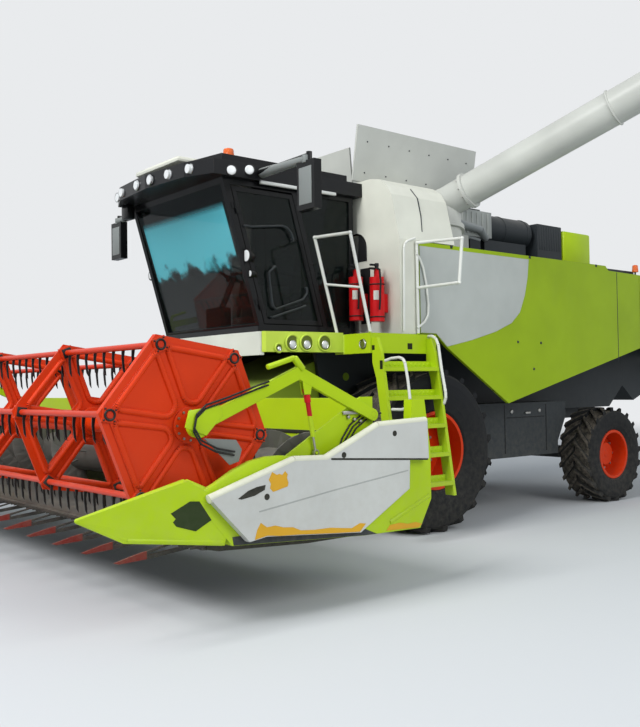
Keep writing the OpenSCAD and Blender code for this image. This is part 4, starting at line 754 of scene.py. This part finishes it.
# Two upright seams and the fold of the lid between them
for low, high in (((1.62, 0.74), (1.634, 1.34)), ((2.45, 0.74), (2.464, 1.34)), ((1.66, 1.18), (2.42, 1.19))):
    slab(mesh, (LOCKER_X - 0.004, *low), (LOCKER_X + 0.003, *high))
twin(mesh)
piece("locker_seams", mesh, gloss_black, "machine")
mesh = bmesh.new()
for y in (1.76, 2.32):
    pole(mesh, (LOCKER_X - 0.002, y, 1.26), (LOCKER_X + 0.012, y, 1.26), 0.028, 0.022, 16)
slab(mesh, (LOCKER_X - 0.002, 2.02, 1.225), (LOCKER_X + 0.020, 2.12, 1.250))
twin(mesh)
piece("locker_catches", mesh, steel, "machine", 0.003)

# WHEEL HUBS
# Steel nuts hold each pressed disc, ten at the front and eight at the rear, round a painted bearing cap.
# Wheel: hub's place, how far its face stands out, radius of the ring of nuts, cap's radius, nuts
for body, x, y, z, face, ring, cap, count in (
        ("wheel_front_left", 1.29, 0, 0.895, 0.076, 0.215, 0.10, 10),
        ("wheel_front_right", -1.29, 0, 0.895, 0.076, 0.215, 0.10, 10),
        ("wheel_rear_left", 1.32, 3.57, 0.635, 0.046, 0.19, 0.08, 8),
        ("wheel_rear_right", -1.32, 3.57, 0.635, 0.046, 0.19, 0.08, 8)):
    side = 1 if x > 0 else -1
    mesh = bmesh.new()
    for nut in range(count):
        angle = 2 * math.pi * nut / count
        at = (x + side * (face - 0.012), y + ring * math.cos(angle), z + ring * math.sin(angle))
        pole(mesh, at, (at[0] + side * 0.034, at[1], at[2]), 0.017, sides=6)
    piece(body + "_nuts", mesh, steel, body)
    mesh = bmesh.new()
    pole(mesh, (x + side * (face - 0.02), y, z), (x + side * (face + 0.05), y, z), cap * 0.7, cap * 0.6, 32)
    piece(body + "_cap", mesh, orange, body, 0.01)

# ENGINE DECK
# Bands round the filter drum, ribs of the cooler's screen and of the tank's rear wall, a pale air duct,
# pipes, and a green service box. A small beacon stands at the deck's rear corner.
mesh = bmesh.new()
for y in (1.80, 2.25, 2.72):
    hoop(mesh, (0.64, y, 3.66), (0, 1, 0), 0.202, 0.008, 36)
for step in range(9):
    y = 2.90 + step * 0.055
    slab(mesh, (0.862, y, 3.45), (0.884, y + 0.025, 3.77))
for step in range(6):
    x = 0.30 + step * 0.10
    slab(mesh, (x, 1.488, 3.30), (x + 0.03, 1.502, 3.83))
piece("deck_ribs", mesh, graphite, "machine", 0.004)
# Pale ribbed air duct from the tank's rear wall to the filter drum
mesh = bmesh.new()
slab(mesh, (0.56, 1.36, 3.50), (0.885, 1.90, 3.84))
for step in range(5):
    y = 1.40 + step * 0.10
    slab(mesh, (0.885, y, 3.53), (0.900, y + 0.04, 3.81))
duct_grey = enamel("duct_grey_enamel", "#A2A6A2", roughness=0.4, dust=0.35)
piece("air_duct", mesh, duct_grey, "machine", 0.012)
mesh = bmesh.new()
slab(mesh, (0.48, 3.43, 3.152), (0.90, 4.07, 3.76))
piece("service_box", mesh, green, "machine", 0.03)
mesh = bmesh.new()
tube(mesh, [(0.93, 0.92, 3.66), (0.93, 1.62, 3.585), (0.86, 1.80, 3.50)], 0.05, 16)
tube(mesh, [(0.84, 1.0, 3.55), (0.84, 1.70, 3.47)], 0.028, 16)
piece("deck_pipes", mesh, enamel("pipe_enamel", "#8F9494", roughness=0.35, dust=0.3), "machine")
REAR_BEACON = Vector((1.60, 4.10, 3.14))
mesh = bmesh.new()
pole(mesh, REAR_BEACON - Vector((0, 0, 0.09)), REAR_BEACON, 0.012, sides=10)
piece("rear_beacon_stalk", mesh, gloss_black, "machine")
mesh = bmesh.new()
pole(mesh, REAR_BEACON, REAR_BEACON + Vector((0, 0, 0.10)), 0.045, 0.036)
piece("rear_beacon", mesh, amber, "machine", 0.01)

# REAR HOOD FITTINGS
# Tail lamps with ribbed red lenses sit at the hood's rear corners.
# Seven black louvres across its sloped top let the engine's warm air out.
tail_red = ribbed_plastic("red_polycarbonate", "#B3131A", 30, "X", 0.003)
mesh = bmesh.new()
slab(mesh, (1.30, 5.865, 2.42), (1.56, 5.965, 2.56))
twin(mesh)
piece("tail_lamps", mesh, tail_red, "machine", 0.012)
mesh = bmesh.new()
for step in range(7):
    # The slope falls by 1 in 2.25 and is 2.76 m high at Y 5.70
    z = 2.80 + step * 0.05
    y = 5.70 - (z - 2.76) * 2.25
    slab(mesh, (-0.9, y - 0.01, z), (0.9, y + 0.03, z + 0.018))
piece("hood_louvres", mesh, gloss_black, "machine", 0.004)

# HEADER COVER DETAILS
# The end cover is two pressed panels with a dark gap between them, a long crease and a hand slot.
# It shows the yellow primer at its lower edge and where a corner was rubbed, and its top rim is cream.
COVER_X = 3.4602
BEHIND_COVER = COVER_X - 0.004
GAP = [(-2.985, 1.082), (-1.992, 1.018), (-1.992, 1.032), (-2.985, 1.096)]
SLOT = [(-3.791, 0.877), (-3.71, 0.923), (-3.64, 0.943), (-3.567, 0.951), (-3.574, 0.918), (-3.657, 0.886),
        (-3.763, 0.870)]
# Dark sheets for the gap between the panels, the hand slot and three holes: a dark joint, and painted shade inside
# the slot and holes
mesh = bmesh.new()
for outline in (GAP, SLOT):
    sheet(mesh, [(BEHIND_COVER, y, z) for y, z in outline], (0.0055, 0, 0))
for y, z in ((-3.556, 0.869), (-2.864, 1.111), (-2.35, 1.245)):
    pole(mesh, (BEHIND_COVER, y, z), (BEHIND_COVER + 0.0055, y, z), 0.022, sides=16)
twin(mesh)
piece("cover_gap_shade", mesh, enamel("gap_shadow_enamel", "#22241E", roughness=0.6), "header")
# Painted shade: the crease is a bar darker than the cover, for the shade under its downward face
mesh = bmesh.new()
tube(mesh, [(COVER_X - 0.011, y, z) for y, z in ((-3.62, 0.775), (-2.95, 0.865), (-2.215, 0.952))], 0.0125)
twin(mesh)
piece("cover_crease", mesh, enamel("crease_shade_enamel", "#A6AAA6", dust=0.3), "header")
primer = enamel("rubbed_primer", "#D9A52C", roughness=0.55, dust=0.0, wear=0.2)
RUBBED_EDGE = [(-3.66, 0.590), (-3.555, 0.606), (-3.45, 0.592), (-3.30, 0.583), (-2.95, 0.553), (-2.72, 0.536),
               (-2.66, 0.590), (-2.72, 0.600), (-2.80, 0.572), (-2.90, 0.584), (-3.00, 0.598), (-3.15, 0.600),
               (-3.27, 0.610), (-3.34, 0.640), (-3.42, 0.648), (-3.49, 0.668), (-3.56, 0.664), (-3.61, 0.700),
               (-3.64, 0.655), (-3.655, 0.61)]
RUBBED_PATCH = [(-3.511, 1.035), (-3.470, 1.012), (-3.450, 1.018), (-3.425, 1.008), (-3.400, 1.033),
                (-3.378, 1.010), (-3.385, 0.985), (-3.372, 0.950), (-3.380, 0.925), (-3.430, 0.915),
                (-3.470, 0.905), (-3.505, 0.898), (-3.530, 0.925), (-3.522, 0.955), (-3.540, 0.983)]
RUBBED_COLUMN = [(-2.40, 0.500), (-2.05, 0.486), (-2.01, 0.510), (-2.08, 0.532), (-2.17, 0.528), (-2.25, 0.545),
                 (-2.36, 0.540)]
# Just inside the outer face of the end sheet, which the column, the divider and the skids share
END_X = 3.3995
mesh = bmesh.new()
for outline in (RUBBED_EDGE, RUBBED_PATCH):
    sheet(mesh, [(COVER_X - 0.002, y, z) for y, z in outline], (0.0028, 0, 0))
sheet(mesh, [(END_X, y, z) for y, z in RUBBED_COLUMN], (0.0020, 0, 0))
twin(mesh)
piece("cover_primer_patches", mesh, primer, "header")
RIM = [(-4.0, 0.89), (-3.31, 1.10), (-3.02, 1.09), (-2.51, 1.31), (-1.99, 1.33)]
mesh = bmesh.new()
tube(mesh, [(3.430, y, z) for y, z in RIM], 0.031, 12)
twin(mesh)
piece("cover_top_rim", mesh, enamel("rim_cream_enamel", "#DADBC6", dust=0.25), "header")

# DIVIDER DETAILS
# The divider's nose is a rounded upper beam over a flat side, bolted to a box frame at a seam.
# A window in the frame shows its inside, drawn as a dark green sheet of painted shade, and a green fender fills
# the gap to the header's end sheet.
BEAM_TIP, BEAM_TOP, BEAM_END = (3.372, -4.86, 0.842), (3.352, -4.13, 0.985), (3.352, -3.99, 0.930)
KEEL_TIP, KEEL_MIDDLE, KEEL_END = (3.375, -4.86, 0.835), (3.380, -4.56, 0.688), (3.385, -3.87, 0.590)
FENDER = [(-4.13, 0.930), (-4.033, 0.935), (-3.918, 0.985), (-3.775, 1.063), (-3.637, 1.114), (-3.503, 1.136),
          (-3.383, 1.136), (-3.296, 1.127), (-3.234, 1.102), (-3.24, 1.06), (-3.32, 1.04), (-3.90, 0.870),
          (-4.10, 0.860)]
mesh = bmesh.new()
pole(mesh, BEAM_TIP, BEAM_TOP, 0.014, 0.045, 16)
pole(mesh, BEAM_TOP, BEAM_END, 0.045, 0.038, 16)
pole(mesh, KEEL_TIP, KEEL_MIDDLE, 0.010, 0.018, 12)
pole(mesh, KEEL_MIDDLE, KEEL_END, 0.018, 0.022, 12)
sheet(mesh, [(3.345, y, z) for y, z in FENDER], (0.05, 0, 0))
# Pressed ridge of the rear column
pole(mesh, (3.392, -2.36, 0.560), (3.392, -1.920, 0.729), 0.020, sides=12)
twin(mesh)
piece("divider_beams", mesh, green, "header", 0.004)
WINDOW = [(-4.26, 0.822), (-4.12, 0.886), (-4.05, 0.880), (-3.960, 0.750), (-4.08, 0.690), (-4.22, 0.735),
          (-4.245, 0.765), (-4.225, 0.785)]
mesh = bmesh.new()
# Painted shade: a dark green sheet over the window, with its bolt head and seam in the same colour
sheet(mesh, [(END_X - 0.001, y, z) for y, z in WINDOW], (0.0030, 0, 0))
pole(mesh, (3.388, -4.387, 0.815), (3.3965, -4.387, 0.815), 0.020, sides=16)
SEAM = ((-4.352, 0.918), (-4.372, 0.850), (-4.405, 0.800), (-4.440, 0.712))
tube(mesh, [(3.392, y, z) for y, z in SEAM], 0.005, 8)
twin(mesh)
window_shadow = enamel("window_shadow_enamel", "#24350F", roughness=0.5, dust=0.1)
piece("divider_window_shade", mesh, window_shadow, "header")

# HEADER WALL AND SKIDS
# The header's rear wall has a fold, drawn as a dark strip of painted shade, with welded gussets below it, and wear
# skids protect its underside.
# Hydraulic lines for the reel run down each end sheet, from a block with bright couplings.
WALL_Y, FOLD_Z = -2.619, 1.232
mesh = bmesh.new()
# Painted shade: a near-black strip for the shade under the wall's fold
slab(mesh, (-3.28, WALL_Y - 0.008, FOLD_Z), (3.28, WALL_Y, FOLD_Z + 0.03))
fold_shadow = enamel("fold_shadow_enamel", "#23271B", roughness=0.6, dust=0.3)
piece("wall_fold_shade", mesh, fold_shadow, "header", 0.002)
mesh = bmesh.new()
for step in range(33):
    x = -3.20 + step * 0.2
    slab(mesh, (x, WALL_Y - 0.013, 1.150), (x + 0.008, WALL_Y, FOLD_Z))
piece("wall_gussets", mesh, green, "header", 0.002)
# Thin dark sheets on the foot of each end sheet: real skids, darkened as painted shade for the shadow below the
# cover
SKID = [(-3.79, 0.562), (-2.62, 0.492), (-2.50, 0.489), (-2.62, 0.540), (-3.30, 0.592), (-3.66, 0.616),
        (-3.80, 0.620)]
mesh = bmesh.new()
sheet(mesh, [(END_X, y, z) for y, z in SKID], (0.004, 0, 0))
twin(mesh)
piece("header_skids_and_shade", mesh, graphite, "header")
LINE = ((-2.42, 1.43), (-2.55, 1.40), (-2.68, 1.32), (-2.76, 1.22), (-2.80, 1.12), (-2.90, 1.05))
mesh = bmesh.new()
for shift in (0.0, 0.030, 0.060):
    tube(mesh, [(3.318, y + shift, z - shift / 2) for y, z in LINE], 0.007, 8)
twin(mesh)
piece("header_lines", mesh, rubber_hose, "header")
mesh = bmesh.new()
for y, z in ((-2.70, 1.38), (-2.64, 1.36), (-2.58, 1.345)):
    pole(mesh, (3.309, y, z), (3.334, y, z), 0.016, 0.012, 12)
slab(mesh, (3.309, -2.75, 1.400), (3.328, -2.55, 1.425))
twin(mesh)
piece("header_couplings", mesh, steel, "header", 0.002)

# REEL FITTINGS
# Black nylon bearings at the corners of the end plates, clamps round the tine bars at the stars,
# and a ring of bolts round the hub. Pressed beads stiffen each bay of the end plates and of the stars.
REEL = Vector((0, -4.018, 1.368))
FIRST_BAR, BAR_R, PLATE_X, STARS_X = 111.3, 0.578, 3.234, (1.726, 0.226, -1.394)


def spoke(degrees):
    """Gives the directions out along a spoke of the reel and across it."""
    angle = math.radians(degrees)
    return Vector((0, math.cos(angle), math.sin(angle))), Vector((0, -math.sin(angle), math.cos(angle)))


def rounded_loop(corners, radius, steps=5):
    """Rounds the corners of a closed outline."""
    loop = []
    for before, at, after in zip(corners[-1:] + corners[:-1], corners, corners[1:] + corners[:1]):
        at = Vector(at)
        back, ahead = (Vector(before) - at).normalized(), (Vector(after) - at).normalized()
        half = math.acos(max(-1, min(1, back.dot(ahead)))) / 2
        reach = min(radius / math.tan(half), 0.045)
        first, last = at + back * reach, at + ahead * reach
        for step in range(steps + 1):
            t = step / steps
            loop.append((1 - t) ** 2 * first + 2 * t * (1 - t) * at + t ** 2 * last)
    return loop


# A bead lies 17.5 mm inside an end plate's bearing ring, and on both faces of a star 13 mm thick
BAY = [(0.150, 0.044), (0.492, 0.236), (0.492, -0.236), (0.150, -0.044)]
BEAD_PLANES = [PLATE_X - 0.0175, 0.0175 - PLATE_X] + [x + half for x in STARS_X for half in (-0.0065, 0.0065)]
mesh = bmesh.new()
for x in BEAD_PLANES:
    for bay in range(6):
        out, over = spoke(FIRST_BAR + 60 * bay + 30)
        loop = [REEL + Vector((x, 0, 0)) + out * p.x + over * p.y for p in rounded_loop(BAY, 0.09)]
        tube(mesh, loop + loop[:1], 0.021)
piece("reel_beads", mesh, orange, "reel")
mesh = bmesh.new()
for step in range(6):
    out, over = spoke(FIRST_BAR + 60 * step)
    bar = REEL + out * BAR_R
    for x in (PLATE_X, -PLATE_X):
        hoop(mesh, bar + Vector((x, 0, 0)), (1, 0, 0), 0.033, 0.008, 20)
    # Four screws hold each bearing of the left plate, which the camera sees
    for turned in (-1, 1):
        for lug in (-0.036, 0.036):
            at = bar + Vector((PLATE_X - 0.003, 0, 0)) + out * lug + over * 0.036 * turned
            pole(mesh, at, at + Vector((0.010, 0, 0)), 0.007, sides=6)
    for x in STARS_X:
        turn = Matrix.Rotation(math.radians(FIRST_BAR + 60 * step), 4, "X")
        placed = Matrix.Translation(bar + Vector((x, 0, 0))) @ turn
        bmesh.ops.create_cube(mesh, size=1, matrix=placed @ Matrix.Diagonal((0.052, 0.074, 0.074, 1)))
nylon = enamel("black_nylon", "#1B1C1E", roughness=0.5, dust=0.4, wear=0.1)
piece("reel_bearings", mesh, nylon, "reel", 0.006)
mesh = bmesh.new()
for step in range(12):
    at = REEL + spoke(30 * step)[0] * 0.10
    pole(mesh, at + Vector((3.236, 0, 0)), at + Vector((3.247, 0, 0)), 0.009, sides=6)
twin(mesh)
piece("reel_hub_bolts", mesh, steel, "reel")

# REEL ARM DRIVE
# The guard of the hydraulic motor is a grey quarter plate at the hub, and two hoses run to it along the left arm.
# A red collar marks the top of each reel lift cylinder.
QUARTER = ((-3.99, 1.285), (-3.735, 1.262), (-3.690, 1.195), (-3.715, 1.115), (-3.790, 1.095))
mesh = bmesh.new()
sheet(mesh, [(3.358, y, z) for y, z in QUARTER], (0.006, 0, 0))
twin(mesh)
guard_grey = enamel("guard_grey_enamel", "#777B76", roughness=0.45)
piece("motor_guards", mesh, guard_grey, "reel_arms", 0.002)
# Green motor plate at the hub and the upper link of the arm
MOTOR_PLATE = ((-4.13, 1.36), (-4.10, 1.47), (-3.86, 1.50), (-3.84, 1.43), (-3.97, 1.30))
mesh = bmesh.new()
sheet(mesh, [(3.3565, y, z) for y, z in MOTOR_PLATE], (0.010, 0, 0))
pole(mesh, (3.350, -3.46, 1.755), (3.350, -3.225, 1.822), 0.020, sides=12)
pole(mesh, (3.350, -3.225, 1.822), (3.350, -3.15, 1.740), 0.026, sides=12)
twin(mesh)
piece("arm_links", mesh, green, "reel_arms", 0.003)
ROUTE = ((-3.76, 1.16), (-3.90, 1.19), (-4.02, 1.25), (-4.07, 1.33), (-4.05, 1.42), (-3.98, 1.48), (-3.80, 1.53),
         (-3.56, 1.605), (-3.47, 1.63))
mesh = bmesh.new()
for lift in (0.0, 0.024):
    tube(mesh, [(3.374 + lift / 3, y, z + lift) for y, z in ROUTE], 0.007)
piece("reel_arm_hoses", mesh, rubber_hose, "reel_arms")
mesh = bmesh.new()
pole(mesh, (3.336, -3.105, 1.556), (3.336, -3.095, 1.500), 0.024, sides=20)
twin(mesh)
piece("ram_collars", mesh, red, "ram_barrels")

low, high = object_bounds()
